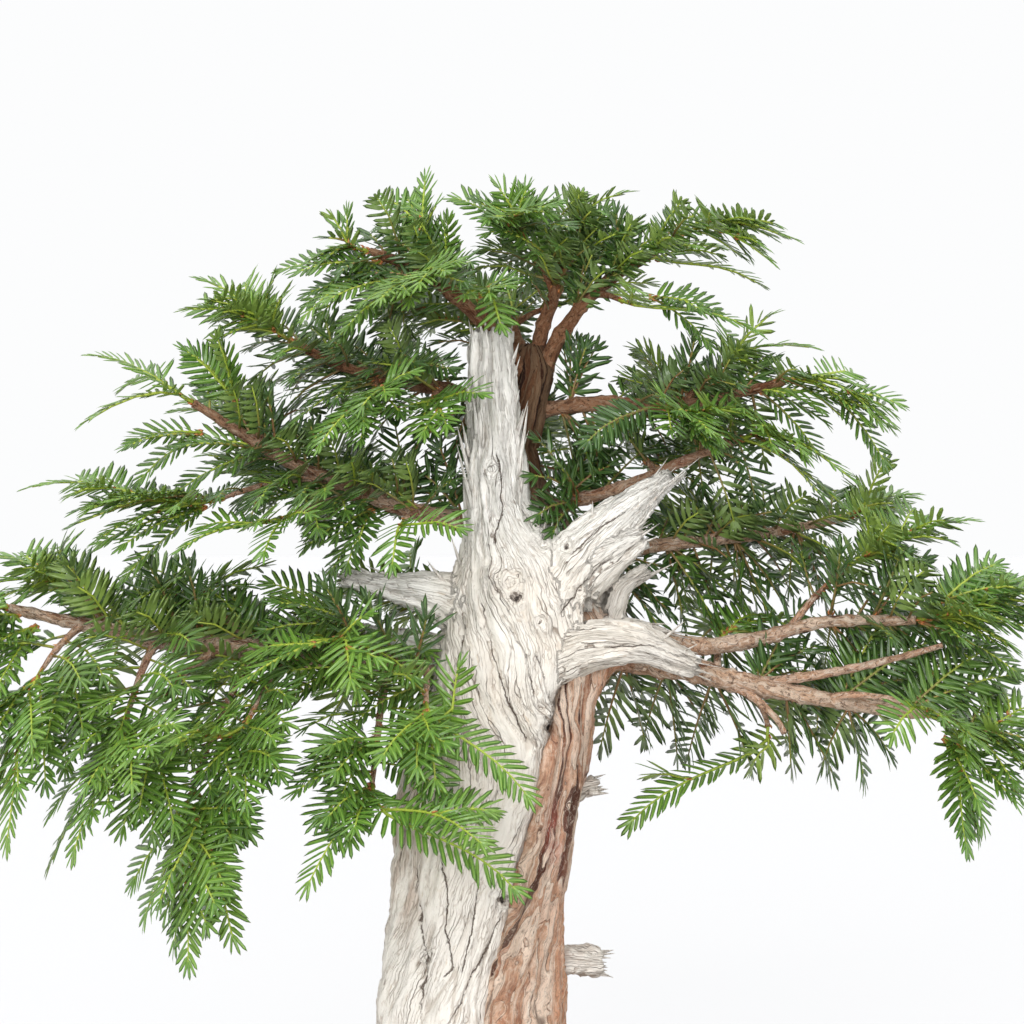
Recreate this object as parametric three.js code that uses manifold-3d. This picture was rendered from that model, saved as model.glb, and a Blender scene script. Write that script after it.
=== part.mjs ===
// English yew bonsai: an old trunk of bleached deadwood with a living strip of bark, spreading
// limbs with sprays of flat needles, and a plain tray pot of soil.
// Millimetres, +Z up, +X to the right and -Y to the front. The origin is on the resting surface
// under the middle of the pot.
import * as THREE from "three";
import Module from "manifold-3d";

const wasm = await Module();
wasm.setup();

// Driving dimensions
const GAP = 0.35;
const POT = { halfLength: 200, halfWidth: 146, height: 92, corner: 34, wall: 11, floor: 10 };
const HEEL = { taper: 10, height: 6 };
const FOOT = { height: 10, length: 64, width: 30, insetX: 20, insetY: 16, slant: 5, sunk: 3 };
const DRAIN = { radius: 10, x: 85 };
const SOIL = { edge: 80, crown: 97, crownAt: [-15, 4], bevel: 4 };
const LIP = { height: 13, out: 4, edge: 1.5 };
const NEEDLE = { length: 19, halfWidth: 1.6, halfEnd: 0.7, drop: 0.4, clearance: 0.4 };
const LEAN = { atBase: 66, atTip: 38 };
const STEM = { start: 2, further: 1.5, tip: 0.8 };
const SEAT = { bare: 9, length: 3, pitch: 12 };
const SHOOT = { setOff: 0.32, bowAt: 0.62, rise: 0.12, shortOfTip: 0.6, bud: 0.4 };
const TWIG = { radius: 3.4, bowAt: 0.45, rise: 0.12 };
const TRUNK_ROOM = { share: 1.06, width: 3 };

const COLOUR = {
  pot: [0.2, 0.115, 0.08],
  soil: [0.13, 0.09, 0.06],
  deadwood: [0.78, 0.74, 0.67],
  bark: [0.27, 0.14, 0.09],
  needles: [0.07, 0.2, 0.05],
};

// The bleached trunk from the soil to the tip of its spire, each row a section:
// [z, centre x, centre y, half width, half depth]
const DEAD_TRUNK = [
  [60, -43, -10, 58, 50],
  [110, -41, -10, 51, 46],
  [150, -38, -10, 45, 42],
  [227, -34, -10, 40, 38],
  [289, -25, -8, 46, 36],
  [351, -12, -8, 43, 34],
  [382, 3, -8, 47, 33],
  [413, 8, -6, 49, 30],
  [438, 6, -4, 39, 25],
  [456, -3, -2, 26, 20],
  [475, -9, 0, 19, 17],
  [506, -10, 0, 17, 15],
  [537, -12, 0, 14, 12],
  [568, -13, 0, 11, 9],
  [583, -15, 0, 5, 4],
];

// Dead snags: points along each one with a radius, from inside the trunk to the torn tip
const SNAGS = [
  { points: [[20, -6, 400], [44, -12, 440], [70, -16, 466], [99, -18, 489]], radii: [27, 21, 13, 3] },
  { points: [[34, -8, 420], [60, -20, 440], [80, -26, 452]], radii: [20, 15, 7] },
  { points: [[6, -2, 430], [18, -4, 448], [22, -4, 459]], radii: [20, 13, 6] },
  { points: [[28, -18, 376], [50, -28, 385], [80, -32, 385], [113, -34, 372]], radii: [17, 14, 9, 3] },
  { points: [[52, 0, 392], [63, -4, 406], [68, -6, 420], [84, -8, 431]], radii: [9, 8, 6, 2.5] },
  { points: [[58, 0, 394], [72, -6, 397], [95, -10, 393]], radii: [7, 5, 2] },
  { points: [[-22, -4, 405], [-52, -6, 416], [-78, -8, 421], [-104, -10, 427]], radii: [22, 13, 8, 3] },
  { points: [[-20, -6, 372], [-58, -2, 386], [-84, 2, 391], [-104, 4, 398]], radii: [16, 9, 6, 3] },
  { points: [[0, 6, 186], [34, 8, 188], [54, 8, 187]], radii: [9, 8, 7.5] },
  { points: [[14, 14, 290], [40, 14, 292], [54, 14, 291]], radii: [6, 5, 4] },
];

// The living strip up the right of the trunk, and the living wood behind it up to the crown
const LIVE_STRIP = [
  [60, 14, -6, 46, 44],
  [110, 7, -7, 39, 46],
  [150, 0, -8, 33, 46],
  [190, 4, -7, 28, 42],
  [227, 12, -4, 20, 38],
  [289, 27, -2, 15, 32],
  [351, 38, 2, 15, 30],
  [375, 46, 4, 23, 28],
  [398, 44, 8, 24, 24],
  [420, 36, 12, 20, 18],
  [440, 28, 16, 11, 10],
];
const LIVE_BACK = [
  [60, -10, 22, 56, 38],
  [110, -13, 19, 49, 35],
  [150, -15, 16, 44, 33],
  [227, -12, 14, 40, 30],
  [289, -5, 16, 42, 28],
  [351, 5, 18, 46, 26],
  [382, 12, 20, 48, 26],
  [413, 20, 20, 43, 24],
  [438, 21, 21, 33, 20],
  [475, 9, 21, 16, 15],
  [506, 3, 21, 13, 13],
  [537, 8, 23, 14, 14],
  [556, 12, 24, 15, 14],
  [572, 12, 24, 6, 6],
];

// Surface roots: points with a radius, running out of the flare and down into the soil
const DEAD_ROOTS = [
  { points: [[-50, -14, 122], [-92, -24, 96], [-122, -32, 68]], radii: [26, 16, 7] },
  { points: [[-40, -28, 116], [-58, -68, 92], [-64, -94, 66]], radii: [24, 14, 6] },
];
const LIVE_ROOTS = [
  { points: [[10, -20, 118], [24, -62, 94], [34, -92, 66]], radii: [22, 13, 6] },
  { points: [[16, -6, 120], [62, -12, 96], [98, -20, 66]], radii: [25, 15, 7] },
  { points: [[8, 14, 118], [40, 56, 92], [58, 84, 66]], radii: [24, 14, 6] },
  { points: [[-20, 24, 116], [-52, 66, 92], [-70, 92, 66]], radii: [24, 14, 6] },
];

// Living limbs: points along each one, and its radius at the base and at the tip
const LIMBS = {
  crown_left: {
    points: [[8, 24, 548], [-6, 8, 572], [-28, -6, 594], [-57, -10, 616], [-88, -10, 628]],
    radii: [6.5, 2.6],
  },
  crown_up: {
    points: [[12, 24, 550], [20, 24, 585], [30, 20, 612], [38, 14, 636]],
    radii: [6, 2.6],
  },
  crown_right: {
    points: [[16, 24, 548], [32, 16, 580], [52, 6, 604], [78, 2, 622], [104, 0, 638]],
    radii: [6, 2.5],
  },
  crown_back: {
    points: [[10, 28, 546], [4, 54, 572], [-2, 76, 590], [-8, 94, 600]],
    radii: [6, 2.6],
  },
  mid_left: {
    points: [[-2, 24, 528], [-32, 22, 541], [-69, 12, 548], [-107, 2, 558], [-135, -4, 572]],
    radii: [5.5, 2.5],
  },
  third_left: {
    points: [
      [0, 22, 462], [-32, 18, 462], [-63, 4, 468],
      [-100, -8, 482], [-137, -14, 498], [-196, -20, 534],
    ],
    radii: [7, 2.6],
  },
  low_left: {
    points: [
      [-10, 26, 374], [-55, 20, 377], [-90, 8, 378], [-125, -4, 379],
      [-175, -18, 383], [-225, -26, 390], [-308, -30, 408],
    ],
    radii: [13, 3],
  },
  mid_right: {
    points: [[10, 26, 530], [55, 15, 535], [104, 2, 533], [140, -8, 540], [168, -12, 548]],
    radii: [5.5, 2.5],
  },
  third_right: {
    points: [[8, 26, 466], [67, 16, 482], [110, 0, 500], [140, -8, 512]],
    radii: [5, 2.4],
  },
  back_right: {
    points: [[34, 30, 440], [90, 42, 446], [150, 46, 452], [205, 46, 462]],
    radii: [6, 2.5],
  },
  upper_right: {
    points: [[48, 10, 404], [90, 4, 388], [120, -2, 384], [153, -10, 389], [190, -20, 399], [247, -34, 401]],
    radii: [7.5, 2.8],
  },
  low_right: {
    points: [[44, 16, 384], [85, 6, 374], [110, -3, 369], [152, -20, 360], [207, -34, 350], [252, -44, 344]],
    radii: [10, 3.4],
  },
  mid_back: { points: [[4, 28, 492], [8, 68, 502], [2, 100, 512]], radii: [6, 2.6] },
  low_back: { points: [[-4, 34, 402], [-16, 72, 408], [-30, 102, 414]], radii: [8, 2.8] },
};

// Leafy sprays of each limb: where along the limb (0 to 1) each one grows, the point where its green
// wood starts, and the tips its shoots reach
const LEAFAGE = {
  crown_left: {
    end: { at: 1, tips: [[-135, -8, 622], [-116, -22, 656]] },
    top: { at: 0.68, base: [-53, -12, 632], tips: [[-54, -5, 683], [-86, 14, 668]] },
    front: { at: 0.35, base: [-20, -24, 596], tips: [[2, -68, 606], [-2, -60, 574], [-34, -74, 596]] },
    near: { at: 0.6, base: [-54, -36, 608], tips: [[-84, -92, 592], [-36, -98, 612]] },
  },
  crown_up: {
    end: { at: 1, tips: [[42, -24, 670], [78, 8, 672]] },
    left: { at: 0.6, base: [12, 14, 632], tips: [[-14, -6, 678], [8, -60, 652]] },
    back: { at: 0.7, base: [30, 48, 630], tips: [[18, 104, 654], [66, 84, 656]] },
  },
  crown_right: {
    end: { at: 1, tips: [[184, 0, 637], [168, -22, 618], [150, 36, 640]] },
    low: { at: 0.5, base: [66, -14, 598], tips: [[160, -24, 576], [74, -82, 602]] },
    back: { at: 0.7, base: [86, 34, 626], tips: [[140, 82, 638], [166, 60, 610]] },
  },
  crown_back: {
    end: { at: 1, tips: [[-24, 160, 602], [34, 152, 612]] },
    left: { at: 0.5, base: [-34, 78, 590], tips: [[-98, 124, 598], [-104, 70, 616]] },
    right: { at: 0.65, base: [24, 82, 598], tips: [[94, 134, 606], [98, 80, 616]] },
  },
  mid_left: {
    end: { at: 1, tips: [[-200, -5, 617], [-207, -36, 594], [-182, 42, 602]] },
    inner: { at: 0.3, base: [-48, -14, 538], tips: [[-38, -72, 516], [-12, -58, 540]] },
    front: { at: 0.6, base: [-84, -24, 544], tips: [[-120, -80, 502], [-74, -92, 538]] },
    back: { at: 0.55, base: [-84, 42, 556], tips: [[-142, 98, 572], [-78, 118, 568]] },
  },
  third_left: {
    end: { at: 1, tips: [[-265, -20, 568], [-268, -48, 520], [-247, 21, 546]] },
    long: { at: 0.55, base: [-176, -30, 476], tips: [[-304, -42, 483], [-258, -74, 448]] },
    low: { at: 0.42, base: [-132, -44, 466], tips: [[-206, -92, 443], [-150, -102, 438]] },
    front: { at: 0.25, base: [-66, -34, 462], tips: [[-74, -74, 428], [-24, -80, 457]] },
    back: { at: 0.5, base: [-116, 34, 484], tips: [[-166, 104, 492], [-108, 124, 474], [-204, 62, 506]] },
    top: { at: 0.75, base: [-160, 8, 520], tips: [[-214, 44, 540], [-168, 66, 548]] },
  },
  low_left: {
    end: { at: 1, tips: [[-345, -32, 412], [-336, -78, 388]] },
    fall: { at: 0.85, base: [-284, -62, 372], tips: [[-302, -104, 262], [-340, -92, 318]] },
    drop: { at: 0.7, base: [-232, -72, 344], tips: [[-263, -112, 257], [-220, -156, 304]] },
    hang: { at: 0.5, base: [-192, -80, 300], tips: [[-192, -112, 190], [-162, -114, 206]] },
    mid: { at: 0.42, base: [-158, -70, 344], tips: [[-157, -128, 288], [-200, -158, 334]] },
    inner: { at: 0.22, base: [-84, -80, 304], tips: [[10, -116, 238], [-126, -118, 240], [-10, -156, 272]] },
    near: { at: 0.14, base: [-52, -64, 352], tips: [[16, -100, 292], [-58, -116, 308], [-28, -92, 384]] },
    fan: { at: 0.3, base: [-104, -44, 390], tips: [[-168, -98, 362], [-94, -106, 362]] },
    rise: { at: 0.8, base: [-266, -4, 416], tips: [[-334, 14, 444], [-296, -50, 434]] },
    top: { at: 0.5, base: [-186, 0, 406], tips: [[-240, 40, 438], [-150, 36, 438], [-206, -58, 428]] },
    back: { at: 0.45, base: [-152, 40, 388], tips: [[-196, 112, 380], [-112, 126, 372], [-246, 76, 396]] },
  },
  mid_right: {
    end: { at: 1, tips: [[232, -20, 540], [241, -36, 517], [222, 30, 552]] },
    rise: { at: 0.6, base: [124, 0, 552], tips: [[166, -8, 596], [196, 14, 572]] },
    front: { at: 0.5, base: [92, -22, 532], tips: [[122, -88, 514], [150, -62, 526]] },
    back: { at: 0.55, base: [108, 42, 540], tips: [[150, 112, 550], [70, 112, 552]] },
  },
  third_right: {
    end: { at: 1, tips: [[216, -50, 484], [180, -74, 502]] },
    back: { at: 0.6, base: [84, 52, 498], tips: [[150, 96, 508], [80, 114, 514]] },
  },
  back_right: {
    end: { at: 1, tips: [[262, 70, 480], [238, 24, 506], [240, 112, 466]] },
    mid: { at: 0.55, base: [132, 76, 458], tips: [[152, 140, 470], [84, 132, 462]] },
  },
  upper_right: {
    end: { at: 1, tips: [[326, -36, 430], [302, -92, 402], [345, 6, 418]] },
    top: { at: 0.62, base: [206, -14, 432], tips: [[292, -6, 466], [232, -66, 464]] },
  },
  low_right: {
    end: { at: 1, tips: [[275, -84, 258], [332, -64, 300], [334, -16, 350]] },
    front: { at: 0.72, base: [236, -64, 352], tips: [[286, -104, 326], [222, -116, 332]] },
    fall: { at: 0.5, base: [160, 20, 334], tips: [[66, 16, 268], [146, 28, 300]] },
    back: { at: 0.55, base: [196, 38, 350], tips: [[240, 116, 352], [304, 70, 362], [166, 122, 338]] },
    top: { at: 0.4, base: [130, 26, 386], tips: [[190, 66, 402], [124, 86, 396]] },
  },
  mid_back: {
    end: { at: 1, tips: [[-34, 160, 518], [42, 160, 526], [6, 140, 556]] },
  },
  low_back: {
    end: { at: 1, tips: [[-74, 160, 410], [-6, 162, 402], [44, 144, 424]] },
    left: { at: 0.5, base: [-52, 80, 412], tips: [[-116, 124, 420], [-68, 136, 446]] },
  },
};
const SPRAYS = Object.entries(LEAFAGE).flatMap(([on, sprays]) =>
  Object.entries(sprays).map(([place, spray]) => ({ name: `${on}_${place}`, on, ...spray })),
);

// Vectors and repeatable draws
const UP = new THREE.Vector3(0, 0, 1);
const vec = (point) => new THREE.Vector3(...point);
const mix = THREE.MathUtils.lerp;
// A repeatable number from 0 to 1 for the k-th draw
function draw(k) {
  const wave = Math.sin(k * 12.9898 + 4.1414) * 43758.5453;
  return wave - Math.floor(wave);
}

// A closed solid from points and triangles
function solid(points, faces) {
  const geometry = new THREE.BufferGeometry().setFromPoints(points).setIndex(faces.flat());
  return new wasm.Manifold(
    new wasm.Mesh({
      numProp: 3,
      vertProperties: geometry.attributes.position.array,
      triVerts: new Uint32Array(geometry.index.array),
    }),
  );
}

// A skin over rings of points that run anticlockwise seen from the last ring, closed at both ends
function skin(rings) {
  const sides = rings[0].length;
  const points = rings.flat();
  const faces = [];
  rings.slice(1).forEach((_, i) => {
    for (let j = 0; j < sides; j++) {
      const a = i * sides + j;
      const b = i * sides + ((j + 1) % sides);
      faces.push([a, b, b + sides], [a, b + sides, a + sides]);
    }
  });
  const last = points.length - sides;
  for (let j = 1; j < sides - 1; j++) {
    faces.push([0, j + 1, j], [last, last + j, last + j + 1]);
  }
  return solid(points, faces);
}

const join = (solids) => solids.reduce((whole, piece) => whole.add(piece));
// The largest body of a solid, without the scraps that a cut leaves
const largest = (cut) => cut.decompose().reduce((a, b) => (b.volume() > a.volume() ? b : a));

// A ring of a fluted oval trunk section, which is grown outwards to cut a clearance
function trunkRing([z, x, y, halfWidth, halfDepth], sides, grow) {
  return Array.from({ length: sides }, (_, j) => {
    const angle = (2 * Math.PI * j) / sides;
    const fluting = 1 + 0.035 * Math.sin(5 * angle + z / 60) + 0.02 * Math.sin(9 * angle - z / 35);
    return new THREE.Vector3(
      x + (halfWidth * fluting + grow) * Math.cos(angle),
      y + (halfDepth * fluting + grow) * Math.sin(angle),
      z,
    );
  });
}
const column = (rows, sides, grow) => skin(rows.map((row) => trunkRing(row, sides, grow)));

// A frame across a curve: its point, its tangent, a normal close to the wanted one, and the side
function across(curve, share, wanted) {
  const tangent = curve.getTangentAt(share);
  const normal = wanted.clone().addScaledVector(tangent, -wanted.dot(tangent)).normalize();
  return { point: curve.getPointAt(share), tangent, normal, side: tangent.clone().cross(normal) };
}

// A round tapering rod along a curve
function rod(curve, radiusAt, { steps, sides, wanted }) {
  const rings = Array.from({ length: steps + 1 }, (_, i) => {
    const { point, normal, side } = across(curve, i / steps, wanted);
    const radius = radiusAt(i / steps);
    return Array.from({ length: sides }, (_, j) => {
      const angle = (2 * Math.PI * j) / sides;
      return point
        .clone()
        .addScaledVector(normal, radius * Math.cos(angle))
        .addScaledVector(side, radius * Math.sin(angle));
    });
  });
  return skin(rings);
}

// A snag or root, whose radius follows its own list
function gnarl({ points, radii }, grow) {
  const radiusAt = (share) => {
    const place = Math.min(share * (radii.length - 1), radii.length - 1.001);
    return mix(radii[Math.floor(place)], radii[Math.floor(place) + 1], place % 1) + grow;
  };
  const shape = { steps: points.length - 1, sides: 6, wanted: new THREE.Vector3(0, -1, 0.2) };
  return rod(new THREE.CatmullRomCurve3(points.map(vec)), radiusAt, shape);
}

// Wood of the trunk
function deadwood(grow) {
  const gnarls = [...SNAGS, ...DEAD_ROOTS].map((row) => gnarl(row, grow));
  return join([column(DEAD_TRUNK, 16, grow), ...gnarls]);
}
function liveTrunk(grow) {
  const gnarls = LIVE_ROOTS.map((row) => gnarl(row, grow));
  return join([column(LIVE_STRIP, 10, grow), column(LIVE_BACK, 12, grow), ...gnarls]);
}

// The curves of limbs and of the twigs that carry the sprays
const limbCurve = (name) => new THREE.CatmullRomCurve3(LIMBS[name].points.map(vec));
const limbRadius = (name, share) => mix(LIMBS[name].radii[0], LIMBS[name].radii[1], share ** 0.8);

// A twig leaves its limb, bows upwards a little and ends where the green wood starts
function twigOf({ on, at, base }) {
  const limb = limbCurve(on);
  const from = limb.getPointAt(at);
  if (!base) return { end: from, along: limb.getTangentAt(1) };
  const end = vec(base);
  const bow = from.clone().lerp(end, TWIG.bowAt).addScaledVector(UP, TWIG.rise * from.distanceTo(end));
  const curve = new THREE.QuadraticBezierCurve3(from, bow, end);
  const radius = Math.min(TWIG.radius, limbRadius(on, at) * 0.7);
  return { end, along: curve.getTangentAt(1), curve, radius };
}

// All the living wood above the roots: the limbs and the twigs that carry the sprays
function limbRods() {
  const wanted = new THREE.Vector3(0.1, -0.3, 1);
  const limbs = Object.entries(LIMBS).map(([name, { points, radii }]) => {
    const shape = { steps: points.length - 1, sides: radii[0] > 8 ? 8 : 6, wanted };
    return rod(limbCurve(name), (share) => limbRadius(name, share), shape);
  });
  const twigs = SPRAYS.map(twigOf).filter(({ curve }) => curve);
  return limbs.concat(
    twigs.map(({ curve, radius }) =>
      rod(curve, (share) => mix(radius, STEM.start, share), { steps: 2, sides: 3, wanted }),
    ),
  );
}

// Clearances: each stretch of wood, stem or needle is kept as a segment with a radius
const placed = [];
function segmentGap(p1, q1, p2, q2) {
  const d1 = q1.clone().sub(p1);
  const d2 = q2.clone().sub(p2);
  const r = p1.clone().sub(p2);
  const [a, e, f, c, b] = [d1.dot(d1), d2.dot(d2), d2.dot(r), d1.dot(r), d1.dot(d2)];
  const wide = a * e - b * b;
  const clamp = (value) => Math.min(1, Math.max(0, value));
  let s = wide > 1e-9 ? clamp((b * f - c * e) / wide) : 0;
  const t = clamp((b * s + f) / e);
  s = clamp((b * t - c) / a);
  return p1.clone().addScaledVector(d1, s).distanceTo(p2.clone().addScaledVector(d2, t));
}
function keep(curve, radius, owner, steps = 4) {
  const points = curve.getSpacedPoints(steps);
  points.slice(1).forEach((point, i) => placed.push({ a: points[i], b: point, radius, owner }));
}
function inTrunk(point) {
  const inside = (rows) => {
    const above = rows.findIndex((row) => row[0] >= point.z);
    if (above < 1) return false;
    const [low, high] = [rows[above - 1], rows[above]];
    const share = (point.z - low[0]) / (high[0] - low[0]);
    const [, x, y, w, d] = low.map((value, i) => mix(value, high[i], share));
    const room = (half) => half * TRUNK_ROOM.share + TRUNK_ROOM.width;
    return Math.hypot((point.x - x) / room(w), (point.y - y) / room(d)) < 1;
  };
  return [DEAD_TRUNK, LIVE_STRIP, LIVE_BACK].some(inside);
}
function isClear(from, tip, radius, owners) {
  const blocks = ({ a, b, radius: other, owner }) =>
    !owners.includes(owner) && segmentGap(from, tip, a, b) < other + radius + NEEDLE.clearance;
  return !placed.some(blocks) && ![0.3, 0.65, 1].some((share) => inTrunk(from.clone().lerp(tip, share)));
}

// The upper face of a shoot looks up and out from the middle of the tree
function upperFace(point) {
  const out = new THREE.Vector3(point.x, point.y - 20, 0).normalize();
  return UP.clone().multiplyScalar(0.75).addScaledVector(out, 0.65).normalize();
}

// A shoot sets off in its own direction, bows up and droops, so that its needles reach its tip
function makeShoot(from, setOff, tip, radius, owner) {
  const end = vec(tip);
  const length = from.distanceTo(end);
  end.lerp(from, (SHOOT.shortOfTip * NEEDLE.length) / length);
  const leaving = from.clone().addScaledVector(setOff, SHOOT.setOff * length);
  const bow = from.clone().lerp(end, SHOOT.bowAt).addScaledVector(UP, SHOOT.rise * length);
  const curve = new THREE.CubicBezierCurve3(from, leaving, bow, end);
  const run = curve.getLength();
  const pairs = Math.round((run - SEAT.bare) / SEAT.pitch);
  const last = run - SEAT.length / 2;
  const seats = Array.from({ length: pairs + 1 }, (_, i) => ({
    share: mix(SEAT.bare, last, i / pairs) / run,
    growing: {},
  }));
  return { curve, radius, seats, owner, face: upperFace(vec(tip)) };
}

// The first shoot of a spray goes on from its twig, and the others branch off the first
function shootsOf(spray) {
  const { name, tips } = spray;
  const { end, along } = twigOf(spray);
  const first = makeShoot(end.clone().addScaledVector(along, GAP), along, tips[0], STEM.start, `${name} 0`);
  const further = tips.slice(1).map((tip, i) => {
    const seat = first.seats[i];
    const { point, tangent, side } = across(first.curve, seat.share, first.face);
    const hand = vec(tip).sub(point).dot(side) > 0 ? 1 : -1;
    const setOff = tangent.multiplyScalar(0.6).addScaledVector(side, hand * 0.8);
    const shoot = makeShoot(point, setOff, tip, STEM.further, `${name} ${i + 1}`);
    seat.growing[hand] = shoot;
    return shoot;
  });
  return [first, ...further];
}

// Growing skins: a ring is the crest of a stem and its left and right edges, seen from the tip
const CREST = [0, 1];
const LEFT = [0.9, -0.5];
const RIGHT = [-0.9, -0.5];

// A needle grows out of a ring and tapers to a thin short edge
function growNeedle(body, [crest, left, right], seat, frame, hand, owner) {
  const lean = THREE.MathUtils.degToRad(mix(LEAN.atBase, LEAN.atTip, seat.share));
  const direction = frame.tangent
    .clone()
    .multiplyScalar(Math.cos(lean))
    .addScaledVector(frame.side, hand * Math.sin(lean));
  const reach = NEEDLE.length * (0.9 + 0.2 * draw(frame.point.x + 7 * frame.point.z + hand));
  const tip = frame.point.clone().addScaledVector(direction, reach);
  const from = frame.point.clone().addScaledVector(direction, SEAT.length);
  if (!isClear(from, tip, NEEDLE.halfWidth, [owner])) return false;
  placed.push({ a: from, b: tip, radius: NEEDLE.halfWidth, owner });
  const end = tip.clone().addScaledVector(frame.normal, -NEEDLE.drop);
  const edge = direction.clone().cross(frame.normal).multiplyScalar(NEEDLE.halfEnd);
  const endLeft = body.points.push(end.clone().add(edge), end.clone().sub(edge)) - 2;
  const endRight = endLeft + 1;
  body.faces.push([crest, left, endLeft], [crest, endLeft, endRight], [right, crest, endRight]);
  body.faces.push([left, right, endRight], [left, endRight, endLeft]);
  return true;
}

// A stem grows from seat to seat, and a needle or a further shoot grows out of each side of a seat
function growShoot(body, shoot, root) {
  const { curve, radius, seats, face, owner } = shoot;
  const half = SEAT.length / 2 / curve.getLength();
  const corner = (place, [sideways, upwards]) => {
    const share = Math.min(place, 1);
    const { point, normal, side } = across(curve, share, face);
    const thick = mix(radius, STEM.tip, share);
    point.addScaledVector(side, sideways * thick).addScaledVector(normal, upwards * thick);
    return body.points.push(point) - 1;
  };
  let [crest, left, right] = root ?? [corner(0, CREST), corner(0, LEFT), corner(0, RIGHT)];
  if (!root) body.faces.push([crest, right, left]);
  for (const seat of seats) {
    const top = corner(seat.share, CREST);
    const [nearLeft, nearRight] = [corner(seat.share - half, LEFT), corner(seat.share - half, RIGHT)];
    const [farLeft, farRight] = [corner(seat.share + half, LEFT), corner(seat.share + half, RIGHT)];
    body.faces.push([crest, left, nearLeft], [crest, nearLeft, top]);
    body.faces.push([right, crest, top], [right, top, nearRight]);
    body.faces.push([left, right, nearRight], [left, nearRight, nearLeft]);
    body.faces.push([nearLeft, nearRight, farRight], [nearLeft, farRight, farLeft]);
    const frame = across(curve, seat.share, face);
    for (const [hand, ring] of [[1, [top, nearLeft, farLeft]], [-1, [top, farRight, nearRight]]]) {
      if (seat.growing[hand]) growShoot(body, seat.growing[hand], ring);
      else if (!growNeedle(body, ring, seat, frame, hand, owner)) body.faces.push(ring);
    }
    [crest, left, right] = [top, farLeft, farRight];
  }
  const bud = curve.getPointAt(1).addScaledVector(curve.getTangentAt(1), SHOOT.bud * NEEDLE.length);
  const end = body.points.push(bud) - 1;
  body.faces.push([crest, left, end], [left, right, end], [right, crest, end]);
}

function spraySolid([first]) {
  const body = { points: [], faces: [] };
  growShoot(body, first);
  return solid(body.points, body.faces);
}

// A rounded rectangle ring, set in from the rim of the pot
function potRing(inset, z) {
  const [x, y] = [POT.halfLength - inset, POT.halfWidth - inset];
  const radius = Math.max(4, POT.corner - inset);
  const corners = [[1, 1], [-1, 1], [-1, -1], [1, -1]];
  return corners.flatMap(([right, back], quarter) =>
    [0, 1, 2, 3].map((step) => {
      const angle = (Math.PI / 2) * (quarter + step / 3);
      const [cx, cy] = [right * (x - radius), back * (y - radius)];
      return new THREE.Vector3(cx + radius * Math.cos(angle), cy + radius * Math.sin(angle), z);
    }),
  );
}

// A solid from one of the library's own geometries, with its doubled corners merged
function fromGeometry(geometry) {
  const bare = geometry.index ? geometry.toNonIndexed() : geometry;
  const seen = new Map();
  const points = [];
  const faces = [];
  const corner = (i) => {
    const point = new THREE.Vector3().fromBufferAttribute(bare.attributes.position, i);
    const key = point.toArray().map((value) => Math.round(value * 1e4)).join();
    if (!seen.has(key)) seen.set(key, points.push(point) - 1);
    return seen.get(key);
  };
  for (let i = 0; i < bare.attributes.position.count; i += 3) {
    const face = [corner(i), corner(i + 1), corner(i + 2)];
    if (new Set(face).size === 3) faces.push(face);
  }
  return solid(points, faces);
}

// The tray: a tapered body with a lip, hollowed for the soil, on four feet, with two drain holes
function potSolid() {
  const floor = FOOT.height + POT.floor;
  const profile = [
    [LIP.out + HEEL.taper, FOOT.height],
    [LIP.out + HEEL.taper / 2, FOOT.height + HEEL.height],
    [LIP.out, POT.height - LIP.height - LIP.out],
    [0, POT.height - LIP.height],
    [0, POT.height - LIP.edge],
    [LIP.edge, POT.height],
  ];
  const hollow = skin([
    potRing(POT.wall + LIP.out + HEEL.taper, floor),
    potRing(POT.wall + LIP.out + HEEL.height, floor + 2 * HEEL.height),
    potRing(POT.wall + LIP.out + LIP.edge, POT.height + LIP.edge),
  ]);
  const halfFoot = FOOT.length / 2;
  const footShape = new THREE.Shape()
    .moveTo(-halfFoot, 0)
    .lineTo(FOOT.slant - halfFoot, -FOOT.height)
    .lineTo(halfFoot - FOOT.slant, -FOOT.height)
    .lineTo(halfFoot, 0)
    .lineTo(halfFoot, FOOT.sunk)
    .lineTo(-halfFoot, FOOT.sunk);
  const drain = new THREE.CylinderGeometry(DRAIN.radius, DRAIN.radius, 4 * POT.floor, 12);
  drain.rotateX(Math.PI / 2);
  let body = skin(profile.map(([inset, z]) => potRing(inset, z))).subtract(hollow);
  for (const side of [-1, 1]) {
    body = body.subtract(fromGeometry(drain.clone().translate(side * DRAIN.x, 0, floor)));
    for (const end of [-1, 1]) {
      const foot = new THREE.ExtrudeGeometry(footShape, { depth: FOOT.width, bevelEnabled: false })
        .rotateX(Math.PI / 2)
        .translate(
          end * (POT.halfLength - FOOT.insetX - halfFoot),
          side * (POT.halfWidth - FOOT.insetY - FOOT.width / 2) + FOOT.width / 2,
          FOOT.height,
        );
      body = body.add(fromGeometry(foot));
    }
  }
  return body;
}

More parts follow.
